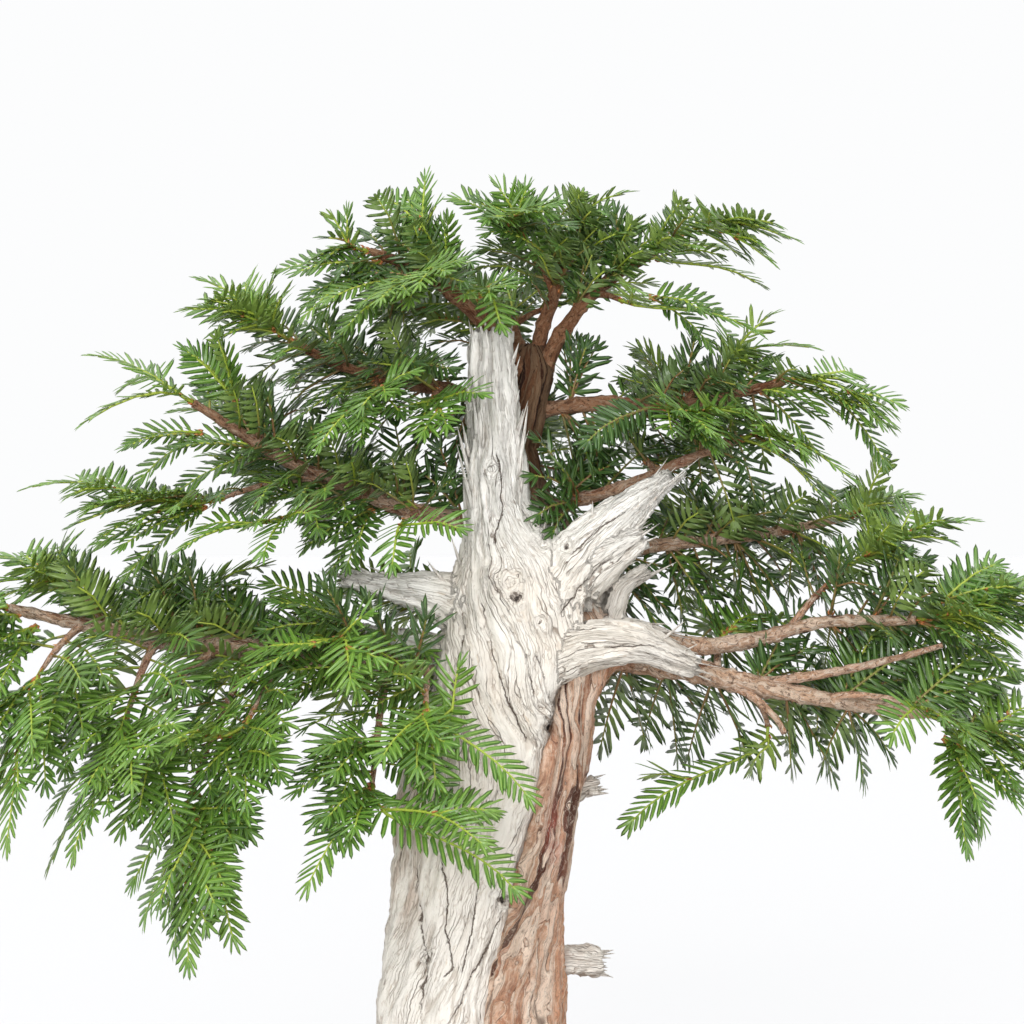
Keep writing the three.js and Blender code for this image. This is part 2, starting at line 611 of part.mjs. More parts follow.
// Soil fills the tray and rises to the trunk, whose foot and roots stand in a hole in it
function soilSolid(cutters) {
  const floor = FOOT.height + POT.floor + GAP;
  const inset = POT.wall + LIP.out + 2 * GAP;
  const top = inset + LIP.edge + GAP * 2;
  const rise = (share) => {
    const z = mix(SOIL.edge, SOIL.crown, Math.sin((share * Math.PI) / 2));
    const towards = (point) => [mix(point.x, SOIL.crownAt[0], share), mix(point.y, SOIL.crownAt[1], share)];
    return potRing(top, z).map((point) => new THREE.Vector3(...towards(point), z));
  };
  const filling = skin([
    potRing(inset + HEEL.taper, floor),
    potRing(inset + HEEL.height, floor + 2 * HEEL.height),
    potRing(top, SOIL.edge - SOIL.bevel),
    ...[0.02, 0.25, 0.5, 0.75].map(rise),
  ]);
  return cutters.reduce((left, cutter) => left.subtract(cutter), filling);
}

// Assembly
const tree = new THREE.Group();
function add(name, made, colour, roughness) {
  const { vertProperties, triVerts } = made.getMesh();
  const geometry = new THREE.BufferGeometry()
    .setAttribute("position", new THREE.BufferAttribute(new Float32Array(vertProperties), 3))
    .setIndex(new THREE.BufferAttribute(new Uint32Array(triVerts), 1));
  geometry.computeVertexNormals();
  const color = new THREE.Color(...colour);
  const material = new THREE.MeshStandardMaterial({ color, roughness, metalness: 0 });
  const mesh = new THREE.Mesh(geometry, material);
  mesh.name = name;
  tree.add(mesh);
}

const deadCutter = deadwood(GAP);
const livingWood = join([liveTrunk(0), ...limbRods()]).subtract(deadCutter);
add("pot", potSolid(), COLOUR.pot, 0.6);
add("soil", largest(soilSolid([deadCutter, liveTrunk(GAP)])), COLOUR.soil, 0.95);
add("deadwood", deadwood(0), COLOUR.deadwood, 0.85);
add("living_wood", largest(livingWood), COLOUR.bark, 0.8);

// Wood and stems take their places first, and needles grow where they stay clear of them
for (const { points, radii } of SNAGS) {
  keep(new THREE.CatmullRomCurve3(points.map(vec)), Math.max(...radii) * 0.6, "snag");
}
for (const name of Object.keys(LIMBS)) keep(limbCurve(name), LIMBS[name].radii[0] * 0.75, name, 8);
const shoots = SPRAYS.map(shootsOf);
SPRAYS.forEach((spray, i) => {
  const { curve, radius } = twigOf(spray);
  if (curve) keep(curve, radius, spray.name);
  for (const shoot of shoots[i]) keep(shoot.curve, shoot.radius, shoot.owner);
});
SPRAYS.forEach(({ name }, i) => add(`spray_${name}`, spraySolid(shoots[i]), COLOUR.needles, 0.45));

export default tree;
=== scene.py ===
"""English yew bonsai: weathered deadwood, bark, leafy shoots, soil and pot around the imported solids."""

import math

import bpy
import numpy as np
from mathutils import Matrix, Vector
from mathutils.geometry import tessellate_polygon


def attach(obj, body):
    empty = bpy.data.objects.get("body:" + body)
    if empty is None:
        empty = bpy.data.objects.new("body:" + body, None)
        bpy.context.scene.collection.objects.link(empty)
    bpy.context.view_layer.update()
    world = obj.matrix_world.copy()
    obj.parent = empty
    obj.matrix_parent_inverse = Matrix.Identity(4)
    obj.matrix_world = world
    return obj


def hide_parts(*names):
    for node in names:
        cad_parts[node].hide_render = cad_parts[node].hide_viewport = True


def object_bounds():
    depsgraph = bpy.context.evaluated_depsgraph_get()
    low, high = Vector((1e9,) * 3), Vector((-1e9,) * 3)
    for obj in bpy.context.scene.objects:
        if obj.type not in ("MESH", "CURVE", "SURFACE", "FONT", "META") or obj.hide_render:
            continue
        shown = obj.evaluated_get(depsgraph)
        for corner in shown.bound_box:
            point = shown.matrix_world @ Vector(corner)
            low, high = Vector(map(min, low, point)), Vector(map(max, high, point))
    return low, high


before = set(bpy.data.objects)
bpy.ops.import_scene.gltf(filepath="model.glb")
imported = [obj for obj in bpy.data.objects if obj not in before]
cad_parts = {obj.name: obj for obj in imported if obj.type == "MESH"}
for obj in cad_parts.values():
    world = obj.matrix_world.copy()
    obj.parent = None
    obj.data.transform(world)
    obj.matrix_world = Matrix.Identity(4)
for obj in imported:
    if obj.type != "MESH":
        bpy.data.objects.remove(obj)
cad_box = [list(corner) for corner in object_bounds()]

# Lengths are in millimetres: the camera's distance and height, and the width it sees at the trunk
MM = 0.001
CAMERA_AWAY, CAMERA_HIGH, SEEN_WIDTH = 2500, 467, 634.9
UP = np.array([0.0, 0.0, 1.0])
# The directions that the first rings of gnarls and of branches start from
FRONT = np.array([0.0, -1.0, 0.2])
RISING = (0.1, -0.3, 1)
# Sizes of the faces of the joined wood
DEADWOOD_FACE, QUICK_DEADWOOD_FACE = 1.62, 2.4
BARK_FACE, QUICK_BARK_FACE = 2.15, 3.0

# The wood as in the solids. Trunks: z, x, y, half width, half depth
DEAD_TRUNK = [
    (60, -43, -10, 58, 50), (110, -41, -10, 51, 46), (150, -38, -10, 45, 42), (227, -34, -10, 40, 38),
    (289, -25, -8, 46, 36), (351, -12, -8, 43, 34), (382, 3, -8, 47, 33), (413, 8, -6, 49, 30),
    (438, 6, -4, 39, 25), (456, -3, -2, 26, 20), (475, -9, 0, 19, 17), (506, -10, 0, 17, 15),
    (537, -12, 0, 15, 12), (568, -13, 0, 13, 10), (580, -14, 0, 11, 8),
]
LIVE_STRIP = [
    (60, 14, -6, 46, 44), (110, 7, -7, 39, 46), (150, 0, -8, 33, 46), (190, 4, -7, 28, 42),
    (227, 12, -4, 20, 38), (289, 27, -2, 15, 32), (351, 38, 2, 15, 30), (375, 46, 4, 23, 28),
    (398, 44, 8, 24, 24), (420, 36, 12, 20, 18), (440, 28, 16, 11, 10),
]
LIVE_BACK = [
    (60, -10, 22, 56, 38), (110, -13, 19, 49, 35), (150, -15, 16, 44, 33), (227, -12, 14, 40, 30),
    (289, -5, 16, 42, 28), (351, 5, 18, 46, 26), (382, 12, 20, 48, 26), (413, 20, 20, 43, 24),
    (438, 21, 21, 33, 20), (475, 9, 21, 16, 15), (506, 3, 21, 13, 13), (537, 8, 23, 14, 14),
    (556, 12, 24, 15, 14), (572, 12, 24, 6, 6),
]
# Gnarls: points and radii. The last two snags are stubs
SNAGS = [
    (((20, -6, 400), (44, -12, 440), (70, -16, 466), (99, -18, 489)), (27, 21, 14, 5)),
    (((34, -8, 420), (60, -20, 440), (80, -26, 452)), (20, 15, 7)),
    (((6, -2, 430), (18, -4, 448), (22, -4, 459)), (20, 13, 6)),
    (((28, -18, 376), (50, -28, 385), (80, -32, 385), (113, -34, 372)), (17, 15, 11, 6)),
    (((52, 0, 392), (63, -4, 406), (68, -6, 420), (84, -8, 431)), (9, 8, 6.5, 3.5)),
    (((58, 0, 394), (72, -6, 397), (95, -10, 393)), (7, 5, 2)),
    (((-22, -4, 405), (-52, -6, 416), (-78, -8, 421), (-104, -10, 427)), (22, 14, 9, 5)),
    (((-20, -6, 372), (-58, -2, 386), (-84, 2, 391), (-104, 4, 398)), (16, 9, 6, 3)),
    (((0, 6, 186), (34, 8, 188), (56, 8, 187)), (10, 9, 10)),
    (((14, 14, 290), (40, 14, 294), (53, 14, 297)), (8, 7, 6)),
]
DEAD_ROOTS = [
    (((-50, -14, 122), (-92, -24, 96), (-122, -32, 68)), (26, 16, 7)),
    (((-40, -28, 116), (-58, -68, 92), (-64, -94, 66)), (24, 14, 6)),
]
LIVE_ROOTS = [
    (((10, -20, 118), (24, -62, 94), (34, -92, 66)), (22, 13, 6)),
    (((16, -6, 120), (62, -12, 96), (98, -20, 66)), (25, 15, 7)),
    (((8, 14, 118), (40, 56, 92), (58, 84, 66)), (24, 14, 6)),
    (((-20, 24, 116), (-52, 66, 92), (-70, 92, 66)), (24, 14, 6)),
]
# Limbs: points, and the radius at both ends. Those thicker than THICK_LIMB start from a collar
THICK_LIMB = 7.2
LIMBS = {
    "crown_left": (
        (
            (8, 24, 548), (-6, 8, 572), (-28, -6, 594), (-57, -10, 616), (-88, -10, 628),
        ),
        (6.5, 2.6),
    ),
    "crown_up": (((12, 24, 550), (20, 24, 585), (30, 20, 612), (38, 14, 636)), (6, 2.6)),
    "crown_right": (((16, 24, 548), (32, 16, 580), (52, 6, 604), (78, 2, 622), (104, 0, 638)), (6, 2.5)),
    "crown_back": (((10, 28, 546), (4, 54, 572), (-2, 76, 590), (-8, 94, 600)), (6, 2.6)),
    "mid_left": (
        (
            (-2, 24, 528), (-32, 22, 541), (-69, 12, 548), (-107, 2, 558), (-135, -4, 572),
        ),
        (5.5, 2.5),
    ),
    "third_left": (
        (
            (0, 22, 462), (-32, 18, 462), (-63, 4, 468), (-100, -8, 482), (-137, -14, 498),
            (-196, -20, 534),
        ),
        (7, 2.6),
    ),
    "low_left": (
        (
            (-10, 26, 374), (-55, 20, 377), (-90, 8, 378), (-125, -4, 379), (-175, -18, 383),
            (-225, -26, 390), (-308, -30, 408),
        ),
        (13, 3),
    ),
    "mid_right": (
        (
            (10, 26, 530), (55, 15, 535), (104, 2, 533), (140, -8, 540), (168, -12, 548),
        ),
        (5.5, 2.5),
    ),
    "third_right": (((8, 26, 466), (67, 16, 482), (110, 0, 500), (140, -8, 512)), (5, 2.4)),
    "back_right": (((34, 30, 440), (90, 42, 446), (150, 46, 452), (205, 46, 462)), (6, 2.5)),
    "upper_right": (
        (
            (48, 10, 404), (90, 4, 388), (120, -2, 384), (153, -10, 389), (190, -20, 399), (247, -34, 401),
        ),
        (7.5, 2.8),
    ),
    "low_right": (
        (
            (44, 16, 384), (85, 6, 374), (110, -3, 369), (152, -20, 360), (207, -34, 350), (252, -44, 344),
        ),
        (10, 3.4),
    ),
    "mid_back": (((4, 28, 492), (8, 68, 502), (2, 100, 512)), (6, 2.6)),
    "low_back": (((-4, 34, 402), (-16, 72, 408), (-30, 102, 414)), (8, 2.8)),
}
# Bare forks of the lower limbs: limb, share of its length, bow and end
FORKS = [
    ("low_right", 0.5, (205, -40, 368), (262, -48, 386)),
    ("low_right", 0.4, (160, -30, 350), (166, -40, 332)),
    ("low_left", 0.55, (-190, -44, 384), (-212, -50, 352)),
]
# Sprays of each limb: share of its length, the twig's end if there is one, and tips of the main shoots
LEAFAGE = {
    "crown_left": {
        "end": (1, None, (-135, -8, 622), (-116, -22, 656)),
        "top": (0.68, (-53, -12, 632), (-54, -5, 683), (-86, 14, 668)),
        "front": (0.35, (-20, -24, 596), (2, -68, 606), (-2, -60, 574), (-34, -74, 596)),
        "near": (0.6, (-54, -36, 608), (-84, -92, 592), (-36, -98, 612)),
    },
    "crown_up": {
        "end": (1, None, (42, -24, 670), (78, 8, 672)),
        "left": (0.6, (12, 14, 632), (-14, -6, 678), (8, -60, 652)),
        "back": (0.7, (30, 48, 630), (18, 104, 654), (66, 84, 656)),
    },
    "crown_right": {
        "end": (1, None, (184, 0, 637), (168, -22, 618), (150, 36, 640)),
        "low": (0.5, (66, -14, 598), (160, -24, 576), (74, -82, 602)),
        "back": (0.7, (86, 34, 626), (140, 82, 638), (166, 60, 610)),
    },
    "crown_back": {
        "end": (1, None, (-24, 160, 602), (34, 152, 612)),
        "left": (0.5, (-34, 78, 590), (-98, 124, 598), (-104, 70, 616)),
        "right": (0.65, (24, 82, 598), (94, 134, 606), (98, 80, 616)),
    },
    "mid_left": {
        "end": (1, None, (-200, -5, 617), (-207, -36, 594), (-182, 42, 602)),
        "inner": (0.3, (-48, -14, 538), (-38, -72, 516), (-12, -58, 540)),
        "front": (0.6, (-84, -24, 544), (-120, -80, 502), (-74, -92, 538)),
        "back": (0.55, (-84, 42, 556), (-142, 98, 572), (-78, 118, 568)),
    },
    "third_left": {
        "end": (1, None, (-265, -20, 568), (-268, -48, 520), (-247, 21, 546)),
        "long": (0.55, (-176, -30, 476), (-304, -42, 483), (-258, -74, 448)),
        "low": (0.42, (-132, -44, 466), (-206, -92, 443), (-150, -102, 438)),
        "front": (0.25, (-66, -34, 462), (-74, -74, 428), (-24, -80, 457)),
        "back": (0.5, (-116, 34, 484), (-166, 104, 492), (-108, 124, 474), (-204, 62, 506)),
        "top": (0.75, (-160, 8, 520), (-214, 44, 540), (-168, 66, 548)),
    },
    "low_left": {
        "end": (1, None, (-345, -32, 412), (-336, -78, 388)),
        "fall": (0.85, (-284, -62, 372), (-302, -104, 262), (-340, -92, 318)),
        "drop": (0.7, (-232, -72, 344), (-263, -112, 257), (-220, -156, 304)),
        "hang": (0.5, (-192, -80, 300), (-192, -112, 190), (-162, -114, 206)),
        "mid": (0.42, (-158, -70, 344), (-157, -128, 288), (-200, -158, 334)),
        "inner": (0.22, (-84, -80, 304), (10, -116, 238), (-126, -118, 240), (-10, -156, 272)),
        "near": (0.14, (-52, -64, 352), (16, -100, 292), (-58, -116, 308), (-28, -92, 384)),
        "fan": (0.3, (-104, -44, 390), (-168, -98, 362), (-94, -106, 362)),
        "rise": (0.8, (-266, -4, 416), (-334, 14, 444), (-296, -50, 434)),
        "top": (0.5, (-186, 0, 406), (-240, 40, 438), (-150, 36, 438), (-206, -58, 428)),
        "back": (0.45, (-152, 40, 388), (-196, 112, 380), (-112, 126, 372), (-246, 76, 396)),
    },
    "mid_right": {
        "end": (1, None, (232, -20, 540), (241, -36, 517), (222, 30, 552)),
        "rise": (0.6, (124, 0, 552), (166, -8, 596), (196, 14, 572)),
        "front": (0.5, (92, -22, 532), (122, -88, 514), (150, -62, 526)),
        "back": (0.55, (108, 42, 540), (150, 112, 550), (70, 112, 552)),
    },
    "third_right": {
        "end": (1, None, (216, -50, 484), (180, -74, 502)),
        "back": (0.6, (84, 52, 498), (150, 96, 508), (80, 114, 514)),
    },
    "back_right": {
        "end": (1, None, (262, 70, 480), (238, 24, 506), (240, 112, 466)),
        "mid": (0.55, (132, 76, 458), (152, 140, 470), (84, 132, 462)),
    },
    "upper_right": {
        "end": (1, None, (326, -36, 430), (302, -92, 402), (345, 6, 418)),
        "top": (0.62, (206, -14, 432), (292, -6, 466), (232, -66, 464)),
    },
    "low_right": {
        "end": (1, None, (275, -84, 258), (332, -64, 300), (334, -16, 350)),
        "front": (0.72, (236, -64, 352), (286, -104, 326), (222, -116, 332)),
        "fall": (0.5, (160, 20, 334), (66, 16, 268), (146, 28, 300)),
        "back": (0.55, (196, 38, 350), (240, 116, 352), (304, 70, 362), (166, 122, 338)),
        "top": (0.4, (130, 26, 386), (190, 66, 402), (124, 86, 396)),
    },
    "mid_back": {
        "end": (1, None, (-34, 160, 518), (42, 160, 526), (6, 140, 556)),
    },
    "low_back": {
        "end": (1, None, (-74, 160, 410), (-6, 162, 402), (44, 144, 424)),
        "left": (0.5, (-52, 80, 412), (-116, 124, 420), (-68, 136, 446)),
    },
}

# The deadwood's grain turns with the height
TWIST_Z = [60, 166, 224, 300, 325, 362, 416, 460, 600]
TWIST = [-0.3, 0.0, 0.45, 0.62, 0.5, -0.17, -0.8, -0.95, -1.0]
# Knots on its front: x, z, radius, hole radius, hole depth
KNOTS = [
    (-1, 424, 10.5, 0.5, 0.5), (2.7, 414.7, 4.4, 2.5, 4.0), (3.4, 428, 3.6, 0.9, 1.6),
    (-9, 427.5, 4.6, 0.6, 1.0), (-9, 419, 2.8, 0.9, 1.2), (24.4, 333.6, 8.0, 2.1, 5.0),
    (17.4, 347.5, 3.8, 0.8, 1.4), (17.4, 400, 4.4, 0.9, 1.6), (41.5, 419, 4.8, 0.7, 1.4),
    (-5, 230, 4.8, 2.3, 4.5), (19.8, 448, 7.0, 0.5, 0.6), (33, 446, 5.5, 1.3, 2.5),
    (-48, 300, 4.5, 1.1, 2.0), (-52, 196, 4.2, 1.0, 1.6), (-12, 494, 6.0, 0.5, 0.6),
]
# Long cracks there, as points (x, z)
CRACKS = [
    ((13.6, 381), (19, 370), (21.3, 356), (26.7, 345), (28.3, 334)),
    ((-5, 223), (-18, 193), (-33, 166), (-41, 152), (-48, 130)),
    ((-20.5, 416), (-14, 390), (-6.4, 362), (2, 342), (10.5, 325)),
    ((-30, 400), (-38, 360), (-44, 320), (-47, 280)),
    ((-43.6, 259), (-39, 236), (-40.6, 213), (-35, 190), (-42, 184)),
    ((-60, 252), (-56, 222), (-53, 190), (-58, 167), (-52, 140)),
    ((-24, 262), (-20, 236), (-25, 205), (-30, 186)), ((-9, 505), (-6, 470), (-12, 446)),
    ((36, 440), (54, 458), (70, 468)), ((30, 404), (44, 424), (62, 440)), ((-2, 398), (8, 380), (14, 352)),
    ((56, 384), (84, 386), (104, 378)),
]
# Broad folds there: depth, half width and points
FOLDS = [
    (3.4, 3.0, ((-24, 436), (-17, 410), (-13, 388), (-8.7, 357), (3.5, 337), (15.6, 319))),
    (2.4, 2.6, ((-43.6, 259), (-39, 236), (-40.6, 213), (-35, 190))),
    (2.4, 3.0, ((-62, 262), (-53, 190), (-57, 150))),
    (2.6, 2.6, ((-30, 420), (-34, 380), (-38, 330), (-40, 280))),
    (2.2, 2.4, ((22, 440), (36, 424), (52, 440), (74, 462))),
    (2.4, 2.2, ((-24, 560), (-24, 520), (-22, 470), (-27, 440))),
    (2.0, 2.2, ((-4, 330), (-14, 290), (-18, 240))),
]
# Torn slivers along the edges: x, y, z, lean to the side, length
SLIVERS = [
    (-28, -4, 452, -0.3, 20), (-29, -2, 466, -0.16, 24), (-27, -4, 486, -0.1, 20),
    (-27, -6, 506, -0.16, 16), (-27, -2, 524, -0.12, 17), (-25, -6, 540, -0.2, 13), (-24, 0, 556, -0.1, 14),
    (5, -8, 470, 0.1, 16), (6, -6, 484, 0.12, 24), (4, -8, 502, 0.22, 18), (3, -6, 516, 0.3, 15),
    (1, -8, 530, 0.16, 17), (-1, -6, 546, 0.22, 15), (-1, -2, 560, 0.14, 15), (-8, -12, 478, 0.02, 12),
    (-18, -12, 512, 0.0, 11), (-24, -8, 468, -0.22, 34), (-26, -6, 492, -0.12, 30), (4, -8, 492, 0.14, 34),
    (2, -8, 512, 0.2, 26), (-22, -10, 520, -0.1, 24), (0, -8, 536, 0.12, 22), (86, -20, 476, 1.1, 24),
    (82, -22, 468, 1.25, 22), (70, -22, 470, 0.9, 20), (58, -20, 460, 0.7, 18), (66, -16, 452, 1.2, 20),
    (-70, -12, 426, -2.2, 24), (-34, -10, 438, -0.5, 16), (-44, -12, 426, -0.9, 13),
    (36, -22, 432, 0.4, 14), (30, -26, 424, 0.2, 12), (52, -22, 456, 0.5, 15), (66, -22, 470, 0.7, 15),
    (76, -22, 474, 1.0, 13), (82, -20, 482, 0.9, 14), (50, -18, 462, 0.15, 10), (92, -34, 388, 1.6, 16),
    (98, -34, 378, 2.2, 14), (-62, -14, 422, -1.6, 13),
]

# Needles: length and width, places and breadths of the three rings of points, height of the midrib
NEEDLE_LENGTH, NEEDLE_WIDTH = 19.0, 3.3
STATIONS = np.array([0, 0.26, 0.82])
BREADTH = np.array([0.36, 1.0, 0.84])
MIDRIB = np.array([0.5, 0.55, 0.4])
NEEDLE_FACES = [
    [[k + j, k + (j + 1) % 3, k + 3 + (j + 1) % 3, k + 3 + j] for k in (0, 3) for j in range(3)],
    [[6 + j, 6 + (j + 1) % 3, 9] for j in range(3)],
]
GOLDEN_ANGLE = 2.39996
# Length of the needles on the limbs against the longest, by the first word of the limb's name
NEEDLE_SIZE = {"crown": 0.78, "mid": 0.82, "third": 0.84, "back": 0.88, "upper": 0.9, "low": 1.0}
# Share of each limb where the added shoots begin
BARE_UP_TO = {
    "upper_right": 0.82, "low_right": 0.86, "back_right": 0.35, "mid_right": 0.4, "third_right": 0.45,
}
# How far shoots may go beyond the box of the solids, and how far they stay below its top
BOX_MARGIN, TOP_MARGIN = 4, 15
# Needles reach this far beside a shoot, and behind this depth a shoot covers no bare wood
SHOOT_MARGIN, WOOD_DEPTH = 9, 26
# Parts of the bare wood that no added shoot may cover from the front: two ends (x, z) and a radius
BARE = [
    ((-10, 575), (-8, 440), 17), ((-6, 440), (4, 330), 36), ((30, 412), (96, 486), 15),
    ((48, 380), (112, 372), 12), ((60, 400), (84, 430), 10), ((-40, 412), (-104, 424), 8),
    ((30, 340), (28, 200), 26), ((-34, 230), (-38, 150), 42), ((50, 408), (190, 398), 7),
    ((50, 382), (240, 347), 8), ((10, 575), (22, 540), 10), ((-310, 410), (-262, 396), -4),
    ((-150, 374), (-112, 370), -4),
]
# Gaps that stay open to the light at every depth: two ends (x, z) and a radius
CLEAR = [
    ((46, 590), (86, 600), 13), ((84, 612), (150, 604), 9), ((-64, 447), (-38, 446), 10),
    ((-190, 440), (-135, 438), 7), ((-246, 446), (-215, 446), 6), ((-236, 520), (-182, 517), 0),
    ((-262, 547), (-206, 549), 1), ((204, 503), (262, 500), 12), ((132, 304), (165, 316), 12),
    ((-160, 250), (-110, 250), 8), ((160, 584), (204, 560), 8), ((255, 318), (262, 300), 6),
    ((-300, 520), (-240, 512), 5), ((238, 328), (246, 290), 5), ((138, 323), (162, 320), 8),
]
# Bunches that fill out the masses: spray, foot, middle of the tips, number and age
BUNCHES = [
    ("back_right_mid", (96, 44, 447), (122, 58, 408), 5, 0.8),
    ("back_right_mid", (140, 46, 451), (160, 62, 410), 5, 0.8),
    ("back_right_end", (180, 46, 456), (200, 66, 418), 5, 0.8),
    ("back_right_mid", (60, 34, 442), (90, 54, 408), 4, 0.9),
    ("upper_right_end", (196, -22, 399), (222, 24, 374), 5, 0.7),
    ("upper_right_end", (228, -32, 401), (262, 10, 378), 5, 0.6),
    ("upper_right_end", (247, -34, 401), (300, -20, 384), 5, 0.5),
    ("low_right_top", (150, -18, 361), (176, 20, 384), 5, 0.8),
    ("low_right_front", (200, -33, 351), (232, 0, 380), 5, 0.7),
    ("low_right_end", (240, -42, 346), (285, -20, 366), 5, 0.6),
    ("low_right_fall", (70, 16, 372), (66, 58, 340), 5, 0.9),
    ("low_right_fall", (96, 4, 371), (104, 54, 338), 5, 0.9),
    ("low_right_back", (124, -8, 366), (136, 50, 334), 5, 0.9),
    ("low_right_back", (168, -26, 357), (188, 20, 326), 5, 0.8),
    ("low_right_front", (205, -34, 350), (212, -10, 318), 4, 0.7),
    ("mid_right_end", (150, -10, 543), (186, -14, 528), 4, 0.5),
    ("mid_right_front", (30, 20, 532), (44, 30, 508), 5, 0.9),
    ("mid_right_rise", (36, 18, 533), (40, 24, 562), 5, 0.9),
    ("third_right_end", (30, 22, 472), (50, 34, 494), 4, 0.9),
    ("crown_left_near", (-80, -14, 622), (-124, -16, 604), 5, 0.4),
    ("crown_left_near", (-60, -20, 612), (-104, -30, 590), 5, 0.5),
    ("mid_left_inner", (-24, 22, 538), (-46, 26, 502), 5, 1.0),
    ("third_left_front", (-30, 18, 463), (-52, 24, 492), 5, 1.0),
    ("low_left_fall", (-270, -50, 380), (-266, -74, 330), 5, 0.4),
    ("low_left_drop", (-232, -72, 344), (-256, -84, 322), 4, 0.5),
    ("low_left_drop", (-216, -76, 326), (-214, -96, 286), 5, 0.4),
    ("low_left_hang", (-192, -80, 300), (-176, -90, 286), 4, 0.6),
    ("low_left_inner", (-80, -70, 330), (-104, -92, 318), 5, 0.6),
    ("low_left_inner", (-84, -80, 304), (-100, -96, 286), 4, 0.6),
    ("low_left_end", (-300, -30, 404), (-332, -40, 392), 5, 0.3),
    ("low_left_end", (-290, -36, 398), (-326, -56, 366), 5, 0.4),
    ("crown_left_top", (-40, -6, 606), (-50, -16, 642), 5, 0.5),
    ("upper_right_end", (262, -34, 412), (300, -24, 424), 4, 0.4),
    ("third_left_long", (-186, -34, 470), (-236, -50, 456), 5, 0.35),
    ("third_left_end", (-170, -14, 534), (-184, -22, 562), 4, 0.4),
    ("third_left_low", (-84, -20, 470), (-104, -40, 446), 5, 0.5),
    ("mid_right_end", (196, -18, 540), (228, -28, 522), 4, 0.4),
    ("back_right_mid", (62, 34, 430), (86, 42, 398), 4, 0.9),
    ("crown_up_end", (30, 14, 620), (6, 4, 648), 4, 0.4),
    ("low_right_end", (262, -50, 330), (286, -66, 294), 5, 0.3),
    ("third_right_end", (42, 16, 474), (24, -3, 462), 4, 0.85),
    ("third_right_end", (42, 16, 476), (27, -3, 492), 3, 0.8),
    ("low_left_drop", (-226, -62, 360), (-238, -92, 346), 3, 0.3),
    ("third_left_end", (-190, -20, 516), (-226, -30, 501), 3, 0.4),
    ("crown_right_end", (60, 4, 612), (80, -14, 634), 5, 0.6),
    ("crown_right_end", (38, 12, 592), (54, -8, 620), 5, 0.8),
    ("crown_up_end", (32, 16, 616), (62, 0, 640), 5, 0.5),
    ("crown_right_low", (84, -12, 600), (112, -20, 590), 3, 0.4),
    ("crown_right_end", (84, 0, 626), (104, -22, 638), 4, 0.4),
    ("low_left_inner", (-96, -30, 372), (-140, -40, 362), 4, 0.6),
    ("low_left_near", (-90, -20, 396), (-140, -24, 406), 3, 0.7),
    ("third_left_end", (-150, -14, 506), (-196, -30, 497), 3, 0.5),
]
# Upright old shoots with needles all round: spray, foot and tip
UPRIGHT = [
    ("low_left_near", (-70, -34, 372), (-88, -52, 412)),
    ("low_left_near", (-62, -40, 366), (-52, -60, 402)),
    ("low_left_fan", (-96, -36, 384), (-112, -56, 420)),
    ("low_left_top", (-206, -20, 396), (-222, -34, 434)),
    ("low_left_top", (-192, -22, 396), (-198, -40, 432)), ("crown_up_end", (30, 18, 604), (44, 0, 648)),
    ("crown_right_end", (66, 6, 612), (64, -18, 650)),
    ("upper_right_top", (196, -20, 404), (200, -40, 442)),
    ("upper_right_end", (222, -28, 404), (236, -48, 440)),
    ("low_left_rise", (-262, -26, 398), (-268, -44, 434)),
    ("third_left_top", (-146, -10, 502), (-150, -26, 538)),
    ("mid_right_rise", (104, 0, 536), (112, -18, 572)),
]

# The pot's wall from below, over the rim and down inside: inset and height. A drain hole: radius and height
POT_PROFILE = [
    (15.5, 10.0), (13.6, 10.2), (12.2, 11.4), (10.0, 14.6), (8.6, 18), (7.4, 28), (6.2, 42), (5.2, 56),
    (4.4, 70), (4.0, 74), (3.2, 76.4), (1.2, 78.2), (0.3, 79.4), (0.0, 81), (0.0, 88), (0.25, 89.8),
    (1.0, 91.2), (2.4, 92.0), (9.0, 92.1), (13.5, 91.6), (15.6, 90.4), (16.5, 88), (17.2, 74), (18.5, 54),
    (20.6, 33), (22.5, 26), (25.0, 20.5), (30, 20),
]
HOLE_PROFILE = [(10.9, 10.0), (10.25, 10.3), (10.0, 11.0), (10.0, 19.0), (10.25, 19.7), (10.9, 20.0)]
# Half of the pot's rim, its corners' radius, the points round a ring, and the middle of a foot
POT_HALF, POT_CORNER, AROUND = (200, 146), 34, 160
FOOT_X, FOOT_Y = 148, 115
# The soil's height at its edge and its rise to the trunk, and how many grains and tufts are strewn
SOIL_EDGE, SOIL_RISE = 80, 17
GRAIN_COUNT, TUFT_COUNT = 1900, 5200
# A grain of soil, with twenty faces
GRAIN_POINTS = np.array([
    (0, 0, 1), (0.894, 0, 0.447), (0.276, 0.851, 0.447), (-0.724, 0.526, 0.447), (-0.724, -0.526, 0.447),
    (0.276, -0.851, 0.447), (0.724, 0.526, -0.447), (-0.276, 0.851, -0.447), (-0.894, 0, -0.447),
    (-0.276, -0.851, -0.447), (0.724, -0.526, -0.447), (0, 0, -1),
])
FIVE = range(1, 6)
GRAIN_FACES = [
    *([0, k, k % 5 + 1] for k in FIVE), *([k, k + 5, k % 5 + 1] for k in FIVE),
    *([k % 5 + 1, k + 5, k % 5 + 6] for k in FIVE), *([k + 5, 11, k % 5 + 6] for k in FIVE),
]


# Repeatable draws, noise and paths
def draw(k):
    """A number from 0 to 1 that is always the same for the same k."""
    wave = np.sin(np.asarray(k, float) * 12.9898 + 4.1414) * 43758.5453
    return wave - np.floor(wave)


def unit(v):
    return v / np.maximum(np.linalg.norm(v, axis=-1, keepdims=True), 1e-9)


def mix(a, b, t):
    return a + (b - a) * t


